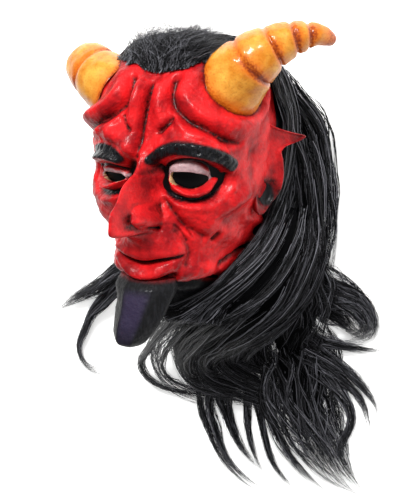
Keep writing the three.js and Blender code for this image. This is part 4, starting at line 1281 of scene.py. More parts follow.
@dataclass
class MaskSkin:
    """The cast head: face, ears and chin beard, hollow and open at the neck.

    Args:
        form: the head and its carving.
        wall: thickness of the latex.
        nose_droop: drop of the nose for each millimetre that it stands out.
        eye_foot: y of the lower lids.
        squint: heights of the half shut right eye over its lower lid, against the left one's.
        ear_root, ear_along: where the left ear grows, and which way.
        ear_thickness: thickness of the ears.
        ear_bowl: the bowl's place along the ear, its y, half width and depth.
        beard_facets: long facets round the beard.
        rows: rings of the fine outer skin.
        columns: points round each ring, a multiple of coarse.
        coarse: one ring and point in this many is kept for the inner wall.
    """

    form: HeadForm
    wall: float = 3.0
    nose_droop: float = 0.08
    eye_foot: float = 135.0
    squint: float = 0.6
    ear_root: tuple = (73.0, 0.0, 127.0)
    ear_along: tuple = (0.52, 0.0, -0.854)
    ear_thickness: float = 5.0
    ear_bowl: tuple = (8.5, 121.0, 9.6, 6.0)
    beard_facets: int = 7
    rows: int = 236
    columns: int = 300
    coarse: int = 4

    def spread(self, places: Array, density: Array, count: int, loop: bool) -> Array:
        """Places along a line, close together where the density is high.

        Args:
            places: fine places along it.
            density: density at each.
            count: how many are wanted.
            loop: True where the line is closed.

        Returns:
            The places.
        """
        total = np.concatenate([[0], np.cumsum((density[1:] + density[:-1]) / 2 * np.diff(places))])
        wanted = np.arange(count) / (count if loop else count - 1) * total[-1]
        return np.interp(wanted, total, places)

    def grid(self) -> tuple[Array, Array]:
        """Lays out the outer skin, finest over the face and along the nose.

        Returns:
            Run and angle of each point.
        """
        fine = np.linspace(0, self.form.run_end - 0.4, 3000)
        y = np.interp(fine, self.form.fine_run, self.form.fine_y)
        density = 0.5 + 0.5 * smoothstep(y, 50, 60) * (1 - smoothstep(y, 185, 200))
        density = density + 1.5 * np.exp(-(((y - 100) / 7) ** 2)) + 0.5 * np.exp(-(((y - 73) / 9) ** 2))
        runs = self.spread(fine, density, self.rows, False)
        around = np.linspace(-math.pi, math.pi, 1201)
        weight = (0.12 + 0.38 * (1 - smoothstep(np.abs(around), 1.6, 2.0))
                  + 0.5 * (1 - smoothstep(np.abs(around), 0.9, 1.1)))
        angles = np.empty((self.rows, self.columns))
        for j in range(0, self.rows, 4):
            run = np.full(len(around), runs[j])
            base = self.form.point(around, run)
            points = base + self.form.normal(around, run) * self.form.carve(base)[0][:, None]
            bare = np.linalg.norm(np.diff(base, axis=0), axis=1)
            steps = np.linalg.norm(np.diff(points, axis=0), axis=1) / np.maximum(bare, 1e-6)
            stretch = np.minimum(np.append(steps, steps[-1]), 4)
            density = weight * np.convolve(np.pad(stretch, 20, mode="edge"), np.ones(41) / 41, "valid")
            angles[j] = self.spread(around, density, self.columns, True)
        for j in range(self.rows):
            low, high = j // 4 * 4, min(j // 4 * 4 + 4, (self.rows - 1) // 4 * 4)
            share = 0 if high == low else (j - low) / (high - low)
            angles[j] = angles[low] * (1 - share) + angles[high] * share
        for _ in range(6):
            padded = np.pad(angles, ((1, 1), (0, 0)), mode="edge")
            angles = (padded[:-2] + 2 * padded[1:-1] + padded[2:]) / 4
        return np.broadcast_to(runs[:, None], angles.shape), angles

    def outer(self) -> dict[str, Array]:
        """Shapes and paints the outer skin.

        Returns:
            Points, their bare base, normal and height, and the cover of each paint.
        """
        run, angle = self.grid()
        base = self.form.point(angle.ravel(), run.ravel())
        normal = self.form.normal(angle.ravel(), run.ravel())
        normal[:self.columns, 1] = 0
        normal = unit(normal)
        height, black, wash = self.form.carve(base)
        folds = 1 - np.abs(noise(base * (1, 0.6, 1), 9, 5))
        wrinkles = np.abs(noise(base @ np.array(((0.9, 0.5, 0), (-0.3, 0.5, 0), (0, 0, 0.8))), 4.2, 6))
        height += 0.5 * noise(base, 14, 3) + 0.9 * folds - 0.6 * wrinkles + 0.25 * noise(base, 3, 4)
        # hairs of the brows, modelled as slanting ridges 2 mm apart
        slanting = base @ np.array(((1.0, 0.35, 0), (-0.8, 0.3, 0), (0, 0, 0.5)))
        height += 0.9 * noise(slanting, 2.2, 7) * black * smoothstep(base[:, 1], 151, 156)
        points = base + normal * height[:, None]
        # the tip of the nose hangs over the lip
        nose = smoothstep(-base[:, 1], -130, -113) * (base[:, 1] > 92) * (np.abs(base[:, 0]) < 30)
        points[:, 1] -= self.nose_droop * np.clip(height - 14, 0, None) * nose
        # where the skin lies under its spread height, in creases and hollows, it is darkened: painted shade
        hollow = np.clip((self.blurred(height) - height - 0.25) / 2.2, 0, 1)
        return {"base": base, "normal": normal, "height": height, "points": points,
                "black": self.blackened(base, black), "wash": np.clip(wash + 0.95 * hollow, 0, 1),
                "eye": self.eye_paint(points), "shine": black * (base[:, 1] > 118)}

    def blurred(self, height: Array) -> Array:
        """Height spread over its neighbours, so that creases stand out against it.

        Args:
            height: height of each point.

        Returns:
            The spread heights.
        """
        soft = height.reshape(self.rows, self.columns)
        for _ in range(14):
            padded = np.pad(soft, ((1, 1), (0, 0)), mode="edge")
            soft = (padded[:-2] + padded[2:] + np.roll(soft, 1, 1) + np.roll(soft, -1, 1)) / 4
        return soft.ravel()

    def blackened(self, base: Array, black: Array) -> Array:
        """Adds the black chin and neck to the painted strokes."""
        edge = np.interp(np.abs(base[:, 0]), *np.array(BLACK_EDGE).T) + 2.5 * noise(base, 9, 8)
        return np.maximum(black, 1 - smoothstep(base[:, 1], edge - 5, edge + 4))

    def eye_paint(self, points: Array) -> Array:
        """Pale eyeball paint.

        Args:
            points: points (n, 3).

        Returns:
            Cover from 0 to 1.
        """
        outline = smooth_line(EYEBALL_PAINT, 60, closed=True)
        opened = np.where(points[:, 0] < 0, self.squint * 0.85, 1.0)
        lifted = self.eye_foot + (points[:, 1] - self.eye_foot) / opened
        front = np.stack([np.abs(points[:, 0]), lifted], axis=1)
        near = ((points[:, 2] > HEAD_CENTRE_Z + 30) & (np.abs(front[:, 0] - 36) < 30)
                & (np.abs(front[:, 1] - 148) < 26))
        cover = np.zeros(len(points))
        cover[near] = 1 - smoothstep(polygon_distance(front[near], outline), -0.6, 0.6)
        return cover

    def inner(self, skin: dict[str, Array]) -> Array:
        """Inner wall, a wall's thickness inside the lowest carving nearby.

        Args:
            skin: the outer skin.

        Returns:
            Rings of points.
        """
        low = skin["height"].reshape(self.rows, self.columns)
        for _ in range(self.coarse):
            padded = np.pad(low, ((1, 1), (0, 0)), mode="edge")
            low = np.minimum.reduce([low, padded[:-2], padded[2:], np.roll(low, 1, 1), np.roll(low, -1, 1)])
        pick = (slice(None, None, self.coarse), slice(None, None, self.coarse))
        base = skin["base"].reshape(self.rows, self.columns, 3)[pick]
        normal = skin["normal"].reshape(self.rows, self.columns, 3)[pick]
        rings = base + normal * (low[pick] - self.wall)[..., None]
        rings[0, :, 1] = NECK_RIM_Y
        return rings

    def shell(self, skin: dict[str, Array]) -> bpy.types.Object:
        """One closed shell: outer skin, neck rim and inner wall.

        Args:
            skin: the outer skin.

        Returns:
            The uncut head.
        """
        outer = skin["points"].reshape(self.rows, self.columns, 3)
        inner = self.inner(skin)
        start, sides = self.rows * self.columns, inner.shape[1]
        points = np.vstack([outer.reshape(-1, 3), inner.reshape(-1, 3),
                            outer[-1].mean(axis=0), inner[-1].mean(axis=0)])
        piece = Piece("mask_skin_head")
        quads = np.vstack([ring_faces(self.rows, self.columns),
                           ring_faces(inner.shape[0], sides)[:, ::-1] + start])
        piece.add(points, quads)
        i, k = np.arange(self.columns), np.arange(sides)
        top, inner_top = (self.rows - 1) * self.columns, start + (inner.shape[0] - 1) * sides
        last = len(points) - 2
        fans = np.vstack([np.stack([top + i, top + (i + 1) % self.columns, np.full_like(i, last)], axis=1),
                          np.stack([inner_top + (k + 1) % sides, inner_top + k, np.full_like(k, last + 1)],
                                   axis=1)])
        a, b, after = i // self.coarse, ((i + 1) // self.coarse) % sides, (i + 1) % self.columns
        turn = a != b
        rim = np.stack([after, i, start + a], axis=1)
        step = np.stack([after[turn], start + a[turn], start + b[turn]], axis=1)
        piece.join(np.vstack([fans, rim, step]))
        return piece.build(LATEX)

    def cut_eyes(self, head: bpy.types.Object) -> None:
        """Cuts the two eye openings through the head.

        Args:
            head: the uncut head.
        """
        cutter = Piece("eye_cutter")
        outline = smooth_line(EYE_OPENING, 72, closed=True)
        for side in (1, -1):
            flat = outline[::-1] if side > 0 else outline * (-1, self.squint)
            if side < 0:
                flat = flat + (0, self.eye_foot * (1 - self.squint))
            rings = [np.column_stack([flat, np.full(len(flat), z)]) for z in np.linspace(130, 240, 12)]
            loft(cutter, np.stack(rings))
        tool = cutter.build(BARE)
        cut = head.modifiers.new("eyes", "BOOLEAN")
        cut.operation, cut.object, cut.solver = "DIFFERENCE", tool, "MANIFOLD"
        evaluated = head.evaluated_get(bpy.context.evaluated_depsgraph_get())
        mesh = bpy.data.meshes.new_from_object(evaluated)
        head.modifiers.clear()
        head.data = mesh
        bpy.data.objects.remove(tool)

    def dress(self, head: bpy.types.Object, skin: dict[str, Array]) -> None:
        """Gives the cut head its paint, and the inside and cut edges bare latex.

        Args:
            head: the cut head.
            skin: the outer skin.
        """
        mesh, points = head.data, skin["points"]
        tree = KDTree(len(points))
        for k, point in enumerate(points):
            tree.insert(point, k)
        tree.balance()
        nearest = np.array([tree.find(vertex.co / MM)[1] for vertex in mesh.vertices])
        for name in ("black", "wash", "eye", "shine"):
            value = mesh.attributes.get(name) or mesh.attributes.new(name, "FLOAT", "POINT")
            value.data.foreach_set("value", skin[name][nearest].astype(np.float32))
        centre, facing = np.empty(len(mesh.polygons) * 3), np.empty(len(mesh.polygons) * 3)
        mesh.polygons.foreach_get("center", centre)
        mesh.polygons.foreach_get("normal", facing)
        centre, facing = centre.reshape(-1, 3) / MM, facing.reshape(-1, 3)
        grid = points.reshape(self.rows, self.columns, 3)
        along = np.gradient(grid, axis=0)
        around = np.roll(grid, -1, 1) - np.roll(grid, 1, 1)
        outward = unit(np.cross(around, along)).reshape(-1, 3)
        found = [tree.find(point) for point in centre]
        index = np.array([k for _, k, _ in found])
        far = np.array([distance for _, _, distance in found])
        bare = (far > 2.4) | ((outward[index] * facing).sum(axis=1) < 0.2)
        mesh.materials.clear()
        mesh.materials.append(LATEX.material())
        mesh.materials.append(BARE.material())
        mesh.polygons.foreach_set("material_index", bare.astype(np.int32))
        mesh.polygons.foreach_set("use_smooth", np.ones(len(mesh.polygons), bool))
        mesh.update()

    def ear(self, side: int) -> bpy.types.Object:
        """A pointed ear leaf with a dark bowl, its black painted shade of the hollow.

        Args:
            side: 1 for the left ear, -1 for the right.

        Returns:
            The ear.
        """
        along = unit(np.array(self.ear_along))
        facing = unit(np.cross(along, (0, 1, 0)))
        table = np.array(EAR_OUTLINE, float)
        rows, steps, tip_gap = 76, 40, 0.3
        ys = np.linspace(table[0, 0] + tip_gap, table[-1, 0] - tip_gap, rows)
        starts, ends = monotone(table[:, 0], table[:, 1], ys), monotone(table[:, 0], table[:, 2], ys)
        share = (1 - np.cos(np.linspace(0, math.pi, steps))) / 2
        place = starts[:, None] + (ends - starts)[:, None] * share
        y = np.broadcast_to(ys[:, None], place.shape)
        edge = np.minimum.reduce([place - starts[:, None] + 3, ends[:, None] - place,
                                  y - ys[0], ys[-1] - y])
        half = self.ear_thickness / 2 * np.sqrt(np.clip(1 - (1 - np.clip(edge, 0, 3) / 3) ** 2, 0.002, 1))
        at, bowl_y, reach, depth = self.ear_bowl
        away = np.hypot(place - at, (y - bowl_y) * 0.8) / reach
        bowl = depth * np.exp(-(away ** 4))
        rim = 2.2 * np.exp(-(((edge - 3.2) / 2.2) ** 2)) * (1 - np.exp(-((place / 8) ** 2)))
        middle = self.ear_root + y[..., None] * (0, 1, 0) + place[..., None] * along
        lumps = 0.3 * noise(middle.reshape(-1, 3), 6, 21).reshape(y.shape)
        front = middle + facing * (half + rim - bowl + lumps)[..., None]
        back = middle - facing * (half + bowl * 0.8)[..., None]
        rings = np.concatenate([front, back[:, ::-1]], axis=1)
        # the bowl's black and the dark ring round it are painted shade of the hollow; the back of the leaf is
        # darkened a little as painted shade, and the leaf is darker past 30 mm along it
        black = np.concatenate([np.clip(1.15 - smoothstep(away, 0.72, 1.05), 0, 1),
                                np.zeros_like(away)], axis=1)
        dark = np.clip(0.9 * np.exp(-(((away - 1.1) / 0.3) ** 2)) + 0.4 * (place > 30), 0, 1)
        wash = np.concatenate([dark, np.full_like(dark, 0.35)], axis=1)
        rings = rings * (side, 1, 1)
        if side < 0:
            rings, black, wash = rings[:, ::-1], black[:, ::-1], wash[:, ::-1]
        piece = Piece("mask_skin_left_ear" if side > 0 else "mask_skin_right_ear")
        loft(piece, rings, black=black, wash=wash)
        return piece.build(LATEX)

    def beard(self) -> bpy.types.Object:
        """The chin beard: a blunt wedge of black latex with soft long facets.

        Returns:
            The beard.
        """
        table = np.array(BEARD_SECTIONS, float)[::-1]
        rows, sides = 84, 120
        ys = np.linspace(table[0, 0] + 0.1, table[-1, 0], rows)
        middle, z, half, depth = (monotone(table[:, 0], table[:, k], ys) for k in (1, 2, 3, 4))
        tip = np.sqrt(np.clip(1 - (1 - np.clip((ys - ys[0]) / 7, 0, 1)) ** 2, 0.01, 1))
        angle = full_turn(sides)
        wide = 2 * math.pi / self.beard_facets
        facets = 0.3 + 0.7 * math.cos(wide / 2) / np.cos((angle + 0.42) % wide - wide / 2)
        x = (half * tip)[:, None] * facets * np.sin(angle)
        rings = np.stack([x + middle[:, None], np.broadcast_to(ys[:, None], x.shape),
                          z[:, None] + (depth * tip)[:, None] * facets * np.cos(angle)], axis=-1)
        flat = rings.reshape(-1, 3)
        outward = unit(np.stack([x, np.zeros_like(x), rings[..., 2] - z[:, None]], axis=-1))
        lumps = 0.8 * noise(flat, 11, 31) + 0.25 * noise(flat, 3, 32)
        rings = rings + outward * lumps.reshape(x.shape)[..., None]
        stripe = np.exp(-((np.minimum(np.abs(angle - 0.03), 6.31 - angle) / 0.44) ** 6))
        violet = stripe * (smoothstep(-ys, -50, -40) * (0.3 + 0.4 * smoothstep(ys, 0, 25)))[:, None]
        fade = 1 - 0.8 * smoothstep(ys, 52, 60)[:, None] * np.ones_like(x)
        piece = Piece("mask_skin_chin_beard")
        loft(piece, rings, black=fade, violet=violet, wash=np.full_like(x, 0.6), shine=-fade)
        return piece.build(LATEX)

    def build(self) -> None:
        """Builds, cuts and dresses the skin."""
        skin = self.outer()
        head = self.shell(skin)
        self.cut_eyes(head)
        self.dress(head, skin)
        for obj in (head, self.ear(1), self.ear(-1), self.beard()):
            place_piece(obj, "mask_skin")


# Wig
@dataclass
class Strands:
    """Strands of one family: middle lines with a facing direction, width and tone each.

    Args:
        lines: points (strands, samples, 3).
        facing: direction that each point's flat side looks at, same shape.
        width: full width of each strand at its widest.
        tone: tone of each strand, 0 darkest; the palest strands are painted glints.
    """

    lines: Array
    facing: Array
    width: Array
    tone: Array

    def directions(self) -> tuple[Array, Array]:
        """Directions along the strands and across them."""
        tangent = unit(np.gradient(self.lines, axis=1))
        return tangent, unit(np.cross(tangent, self.facing))

    def ribbons(self, piece: Piece, taper: float = 0.55) -> None:
        """Adds the strands as flat ribbons that narrow to a point.

        Args:
            piece: where they go.
            taper: share of the length that keeps its width.
        """
        count, samples = self.lines.shape[:2]
        _, side = self.directions()
        s = np.linspace(0, 1, samples)
        half = self.width[:, None] / 2 * np.clip((1 - s) / (1 - taper), 0.04, 1) ** 0.8
        points = np.stack([self.lines - side * half[..., None], self.lines + side * half[..., None]], axis=2)
        points[..., 2] = np.maximum(points[..., 2], 0.25)
        k, j = np.meshgrid(np.arange(count), np.arange(samples - 1), indexing="ij")
        a = ((k * samples + j) * 2).ravel()
        faces = np.stack([a, a + 1, a + 3, a + 2], axis=1)
        uv = np.stack(np.broadcast_arrays(np.array([0.0, 1.0])[None, None, :],
                                          s[None, :, None] + np.zeros((count, 1, 1))), axis=-1)
        tone = np.broadcast_to(self.tone[:, None, None], (count, samples, 2))
        piece.add(points.reshape(-1, 3), faces, uv.reshape(-1, 2), tone=tone.ravel())

    def locks(self, piece: Piece, flat: float = 0.4, sides: int = 5) -> None:
        """Adds the strands as closed, flattened, pointed locks.

        Args:
            piece: where they go.
            flat: thickness against width.
            sides: points round each.
        """
        count, samples = self.lines.shape[:2]
        tangent, side = self.directions()
        over = np.cross(side, tangent)
        s = np.linspace(0, 1, samples)
        pointed = np.clip(s / 0.1 + 0.25, 0, 1) * np.clip((1 - s) / 0.5, 0.02, 1) ** 0.7
        half = self.width[:, None] / 2 * pointed
        angle = full_turn(sides)
        rings = (self.lines[:, :, None, :]
                 + side[:, :, None, :] * (half[..., None] * np.cos(angle))[..., None]
                 + over[:, :, None, :] * (half[..., None] * flat * np.sin(angle))[..., None])
        rings[..., 2] = np.maximum(rings[..., 2], 0.25)
        points = rings.reshape(-1, 3)
        start = piece.count
        quads = ring_faces(samples, sides)[:, ::-1]
        offset = (np.arange(count) * samples * sides)[:, None, None]
        uv = np.stack(np.broadcast_arrays(angle[None, None, :] / (2 * math.pi),
                                          s[None, :, None] + np.zeros((count, 1, 1))), axis=-1)
        tone = np.broadcast_to(self.tone[:, None, None], (count, samples, sides))
        piece.add(points, (quads[None] + offset).reshape(-1, 4), uv.reshape(-1, 2), tone=tone.ravel())
        i = np.arange(1, sides - 1)
        cap = np.stack([np.zeros_like(i), i, i + 1], axis=1)
        last = cap[:, ::-1] + (samples - 1) * sides
        piece.join((np.vstack([cap, last])[None] + offset + start).reshape(-1, 3))


@dataclass
class Wig:
    """The wig: a cap under short crown hair, and long locks that fall to the surface and spread.

    Args:
        form: the head it sits on.
        horns: the horns it parts round.
        cap_angle: angle from the front, in degrees, where the cap's sides end.
        cap_y: y where it ends over the forehead.
        cap_thickness: its thickness over the skin.
        seed: seed of all its chance.
        ribbons: loose strands to each wisp.
    """

    form: HeadForm
    horns: tuple[Horn, ...]
    cap_angle: float = 82.0
    cap_y: float = 236.0
    cap_thickness: float = 6.0
    seed: int = 11
    ribbons: int = 8

    def __post_init__(self) -> None:
        """Starts the wig's chance."""
        self.chance = np.random.default_rng(self.seed)

    def course(self, tress: Tress) -> dict[str, Array]:
        """Follows a tress from root to tip.

        Args:
            tress: the tress.

        Returns:
            Its middle line, directions across and over that, shares, half sizes and length.
        """
        count = 220
        line = smooth_line(tress.at, count)
        tangent = unit(np.gradient(line, axis=0))
        outward = unit(np.stack([line[:, 0] * 0.4, np.zeros(count), np.full(count, 60.0)], axis=1))
        across = unit(np.cross(outward, tangent))
        s = np.linspace(0, 1, count)
        return {"line": line, "across": across, "over": np.cross(tangent, across), "s": s,
                "width": np.interp(s, np.linspace(0, 1, len(tress.width)), tress.width) / 2,
                "thick": np.interp(s, np.linspace(0, 1, len(tress.thick)), tress.thick) / 2,
                "length": np.linalg.norm(np.diff(line, axis=0), axis=1).sum()}

    def slim(self, course: dict) -> float:
        """1 for a full tress, less for a thin one, whose wisps are thinner and straighter."""
        return float(np.clip(course["width"].mean() / 11, 0.3, 1))

    def wave(self, count: int, s: Array, size: float, turns: float) -> Array:
        """A slow random wave along each strand.

        Args:
            count: number of strands.
            s: shares of their length.
            size: size of the wave.
            turns: turns along the strand.

        Returns:
            Offsets (strands, samples).
        """
        out = np.zeros((count, s.shape[-1]))
        for k in (1.0, 1.9, 3.1):
            phase = self.chance.uniform(0, 2 * math.pi, (count, 1))
            speed = self.chance.uniform(0.6, 1.2, (count, 1)) * k * turns
            out += np.sin(phase + speed * 2 * math.pi * s) / k
        return out * size / 1.6

    def clear(self, points: Array, gap: Array | float) -> Array:
        """Moves points out of the head and horns.

        Args:
            points: points (n, 3).
            gap: gap over the head.

        Returns:
            The points.
        """
        points = self.form.push_out(points, gap)
        for horn in self.horns:
            points = horn.push_out(points, 0.8)
        return points

    def settle(self, lines: Array, low: float, high: float) -> Array:
        """Keeps strands out of the head and horns and on the surface, each at its own gap.

        Args:
            lines: points (strands, samples, 3).
            low: smallest gap.
            high: largest gap.

        Returns:
            The lines.
        """
        count, samples = lines.shape[:2]
        gap = np.repeat(self.chance.uniform(low, high, count), samples)
        points = self.clear(lines.reshape(-1, 3), gap)
        floor = np.repeat(self.chance.uniform(0.4, 4.0, count), samples)
        points[:, 2] = np.maximum(points[:, 2], floor)
        return points.reshape(lines.shape)

    def ruffle(self, lines: Array, size: float) -> Array:
        """Waves that neighbouring strands share: strong far from the root, none at it.

        Args:
            lines: points (strands, samples, 3).
            size: size against the usual wave.

        Returns:
            The lines.
        """
        flat = lines.reshape(-1, 3)
        grow = np.tile(smoothstep(np.linspace(0, 1, lines.shape[1]), 0.0, 0.6), len(lines)) * size
        shift = np.stack([3.2 * noise(flat, 34, 51 + k) + 1.1 * noise(flat, 11, 61 + k)
                          for k in range(3)], axis=1)
        return (flat + shift * (grow[:, None] * (1, 1, 0.5))).reshape(lines.shape)

    def wisps(self, tress: Tress, count: int, wide: tuple[float, float]) -> Strands:
        """Wisps that run along a tress, spread over its section and drawn together at its tip.

        Args:
            tress: the tress.
            count: number of wisps.
            wide: least and greatest width.

        Returns:
            The wisps.
        """
        course = self.course(tress)
        samples = int(np.clip(course["length"] / 11, 9, 28))
        s = np.linspace(0, 1, samples)[None, :]
        start = self.chance.uniform(0, 0.22, (count, 1)) ** 1.3
        end = 1 - 0.25 * self.chance.uniform(0, 1, (count, 1)) ** 1.5
        at = start + (end - start) * s
        angle = self.chance.uniform(0, 2 * math.pi, (count, 1))
        reach = self.chance.uniform(0, 1.08, (count, 1)) ** 0.6
        a = reach * np.cos(angle) + self.wave(count, s, 0.3, 1.0)
        b = reach * np.sin(angle) + self.wave(count, s, 0.3, 1.0)
        width = np.interp(at, course["s"], course["width"])
        thick = np.interp(at, course["s"], course["thick"])
        across, over = sampled(course["across"], at), sampled(course["over"], at)
        lines = (sampled(course["line"], at) + across * (a * width)[..., None]
                 + over * (b * thick)[..., None])
        slim = self.slim(course)
        lines = self.settle(self.ruffle(lines, slim ** 2 * tress.crimp), 1.5, 8.0)
        roll = self.chance.uniform(-0.7, 0.7, (count, 1, 1))
        facing = unit(over + across * roll)
        size = self.chance.uniform(*wide, count) * slim
        return Strands(lines, facing, size, self.chance.uniform(0, 1, count) ** 5 * 0.3)

    def loose(self, wisps: Strands, each: int, width: tuple[float, float], fray: float) -> Strands:
        """Single strands round each wisp, following it and fraying at the tip.

        Args:
            wisps: the wisps.
            each: strands to a wisp.
            width: least and greatest width.
            fray: how far the tips spread.

        Returns:
            The strands.
        """
        count, samples = wisps.lines.shape[:2]
        lines = np.repeat(wisps.lines, each, axis=0)
        total = count * each
        tangent = unit(np.gradient(lines, axis=1))
        facing = np.repeat(wisps.facing, each, axis=0)
        side = unit(np.cross(tangent, facing))
        s = np.linspace(0, 1, samples)[None, :]
        size = np.repeat(wisps.width, each)[:, None]
        gather = 1 - 0.3 * s + fray * self.chance.uniform(0, 1, (total, 1)) ** 3 * s ** 2
        u = self.chance.uniform(-1, 1, (total, 1)) * 0.9 * size * gather + self.wave(total, s, 1.3, 2.0)
        v = self.chance.uniform(-0.35, 1, (total, 1)) * 0.5 * size * gather + self.wave(total, s, 1.0, 2.0)
        lines = lines + side * u[..., None] + facing * v[..., None]
        cut = self.chance.uniform(0.72, 1.0, total)
        first = self.chance.uniform(0, 0.12, total)
        at = first[:, None] + (cut - first)[:, None] * s
        grid = at * (samples - 1)
        low = np.clip(np.floor(grid).astype(int), 0, samples - 2)
        share = (grid - low)[..., None]
        row = np.arange(total)[:, None]
        lines = lines[row, low] * (1 - share) + lines[row, low + 1] * share
        roll = self.chance.normal(0, 0.7, (total, 1, 1))
        lines = self.settle(lines, 0.8, 6.5)
        tone = self.chance.uniform(0, 1, total) ** 5
        return Strands(lines, unit(facing + side * roll), self.chance.uniform(*width, total), tone)

    def cores(self) -> None:
        """Closely packed dark hearts of the tresses, which stop light between the wisps."""
        piece = Piece("wig_tress_cores")
        count, sides = 36, 12
        for tress in TRESSES:
            if not tress.core:
                continue
            course = self.course(tress)
            pick = np.linspace(6, (len(course["s"]) - 1) * tress.core, count).astype(int)
            angle = full_turn(sides)
            width = course["width"][pick][:, None] * 0.62
            thick = course["thick"][pick][:, None] * 0.6
            ends = np.sqrt(np.clip(np.sin(np.linspace(0.05, math.pi - 0.05, count)) * 1.6, 0, 1))[:, None]
            rings = (course["line"][pick][:, None, :]
                     + course["across"][pick][:, None, :] * (width * ends * np.cos(angle))[..., None]
                     + course["over"][pick][:, None, :] * (thick * ends * np.sin(angle))[..., None])
            shape = rings.shape
            points = self.clear(rings.reshape(-1, 3), 1.2)
            points = points + unit(points - rings.mean(axis=1).repeat(sides, axis=0)) * (
                1.2 * noise(points * (1, 0.35, 1), 5, 71))[:, None]
            points[:, 2] = np.maximum(points[:, 2], 0.4)
            loft(piece, points.reshape(shape))
        place_piece(piece.build(WEFT), "hair")

    def cap(self) -> None:
        """The knitted cap that the wig's hair is sewn to, over crown, sides and back."""
        rings, sides = 56, 96
        runs = np.linspace(0, self.form.run_end - 0.5, rings)
        angle = np.linspace(-math.pi, math.pi, sides, endpoint=False)
        run, around = np.meshgrid(runs, angle, indexing="ij")
        base = self.form.point(around.ravel(), run.ravel())
        normal = self.form.normal(around.ravel(), run.ravel())
        turn = np.abs(around.ravel()) * 180 / math.pi
        behind = smoothstep(turn, self.cap_angle - 6, self.cap_angle + 26)
        crown = smoothstep(base[:, 1], self.cap_y - 4, self.cap_y + 9)
        cover = np.maximum(behind, crown)
        # past its edge the cap dips under the skin
        lift = self.cap_thickness * (2 * cover - 1)
        points = base + normal * (lift + 0.8 * noise(base, 6, 41) * cover)[:, None]
        points[:, 2] = np.maximum(points[:, 2], 0.4)
        piece = Piece("wig_cap")
        loft(piece, points.reshape(rings, sides, 3))
        place_piece(piece.build(FIBRE), "hair")

    def tresses(self) -> None:
        """Wisps and loose strands of all tresses."""
        locks, tips = Piece("wig_locks"), Piece("wig_fray")
        strands = [Piece(f"wig_strands_{k + 1}") for k in range(3)]
        for tress in TRESSES:
            course = self.course(tress)
            around = float((course["width"] + course["thick"]).mean()) * 2
            count = int(np.clip(around * 1.1, 18, 110) * tress.fill)
            wisps = self.wisps(tress, count, (1.4, 3.8))
            dark = Strands(wisps.lines[::3], wisps.facing[::3], wisps.width[::3] * 0.4, wisps.tone[::3] * 0.3)
            dark.locks(locks)
            lightest = min(strands, key=lambda piece: piece.count)
            self.loose(wisps, self.ribbons, (0.3, 0.75), 2.4).ribbons(lightest)
            self.loose(wisps, 2, (0.2, 0.36), 9 + 4 * self.slim(course)).ribbons(tips, 0.3)
        for piece in (locks, tips, *strands):
            place_piece(piece.build(FIBRE), "hair")

    def fall(self) -> None:
        """Hair combed down the back and sides of the cap, from crown to neck."""
        count, samples = 2200, 16
        side = self.chance.choice((-1, 1), count)
        share = self.chance.uniform(0, 1, (count, 1)) ** 1.5
        s = np.linspace(0, 1, samples)[None, :]
        start = self.form.run_end - self.chance.uniform(2, 90, (count, 1))
        end = self.chance.uniform(0, 120, (count, 1))
        run = start + (end - start) * s
        y = np.interp(run, self.form.fine_run, self.form.fine_y)
        # the hair starts behind the ears, and close to the horns above them
        first = 98 - 10 * smoothstep(y, 188, 206)
        degrees = first + (180 - first) * share + self.wave(count, s, 2.5, 0.8)
        turn = side[:, None] * np.radians(degrees)
        base = self.form.point(turn.ravel(), run.ravel())
        normal = self.form.normal(turn.ravel(), run.ravel())
        lift = np.repeat(self.chance.uniform(4.0, 10, count), samples)
        points = (base + normal * lift[:, None]).reshape(count, samples, 3)
        points = self.settle(points, 3, 8)
        facing = unit(normal.reshape(points.shape) + self.chance.normal(0, 0.35, (count, 1, 3)))
        tone = self.chance.uniform(0, 1, count) ** 5
        made = Strands(points, facing, self.chance.uniform(0.4, 1.0, count), tone)
        piece = Piece("wig_back")
        made.ribbons(piece)
        place_piece(piece.build(FIBRE), "hair")

    def crown(self) -> None:
        """Short frizzy hair, brushed back from the hairline over the crown."""
        piece, flying = Piece("wig_crown"), Piece("wig_flyaways")
        for count, width, length, lift, target, fuzz in (
                (3900, (0.4, 0.9), (18, 58), (2, 15), piece, 1.8),
                (1000, (0.2, 0.34), (26, 64), (8, 24), flying, 2.6)):
            samples = 13
            back = self.chance.uniform(0, 1, count) ** 1.2
            # in front the hair grows only between the horns; behind them it reaches the sides
            wide = 34 + 34 * smoothstep(back, 0.25, 0.6)
            x = self.chance.uniform(-1, 1, count) * wide
            front = np.interp(x, *np.array(HAIRLINE).T[:2])
            root_y = front + (CROWN_Y - front) * np.clip(back * 1.6, 0, 1)
            depth = smoothstep(back, 0.45, 1.0) * 90
            s = np.linspace(0, 1, samples)[None, :]
            reach = self.chance.uniform(*length, (count, 1))
            # distance over the crown from the hairline: up the front, then down behind
            run = (root_y - 190)[:, None] + depth[:, None] + reach * s
            sway = self.wave(count, s, 3.6 * fuzz, 1.5) + self.chance.normal(0, 11, (count, 1)) * s * fuzz
            across = x[:, None] * (1 + 0.12 * s) + sway * s ** 0.5
            arch = 0.15 + 0.85 * np.sin(np.clip(s * 1.9, 0, 1.57))
            height = self.chance.uniform(*lift, (count, 1)) * arch + self.wave(count, s, 1.6 * fuzz, 2.0) * s
            height = height * (1 - 0.6 * smoothstep(np.abs(x) / 34, 0.35, 1.1))[:, None]
            points = self.over_crown(across, run, height)
            points = self.settle(points, 0.6, 5.0)
            facing = unit(self.chance.normal(0, 0.5, (count, 1, 3)) + (0, 0.7, 0.7))
            facing = np.broadcast_to(facing, points.shape)
            made = Strands(points, facing, self.chance.uniform(*width, count),
                           0.7 * self.chance.uniform(0, 1, count) ** 4)
            made.ribbons(target, 0.3)
        for made in (piece, flying):
            place_piece(made.build(FIBRE), "hair")

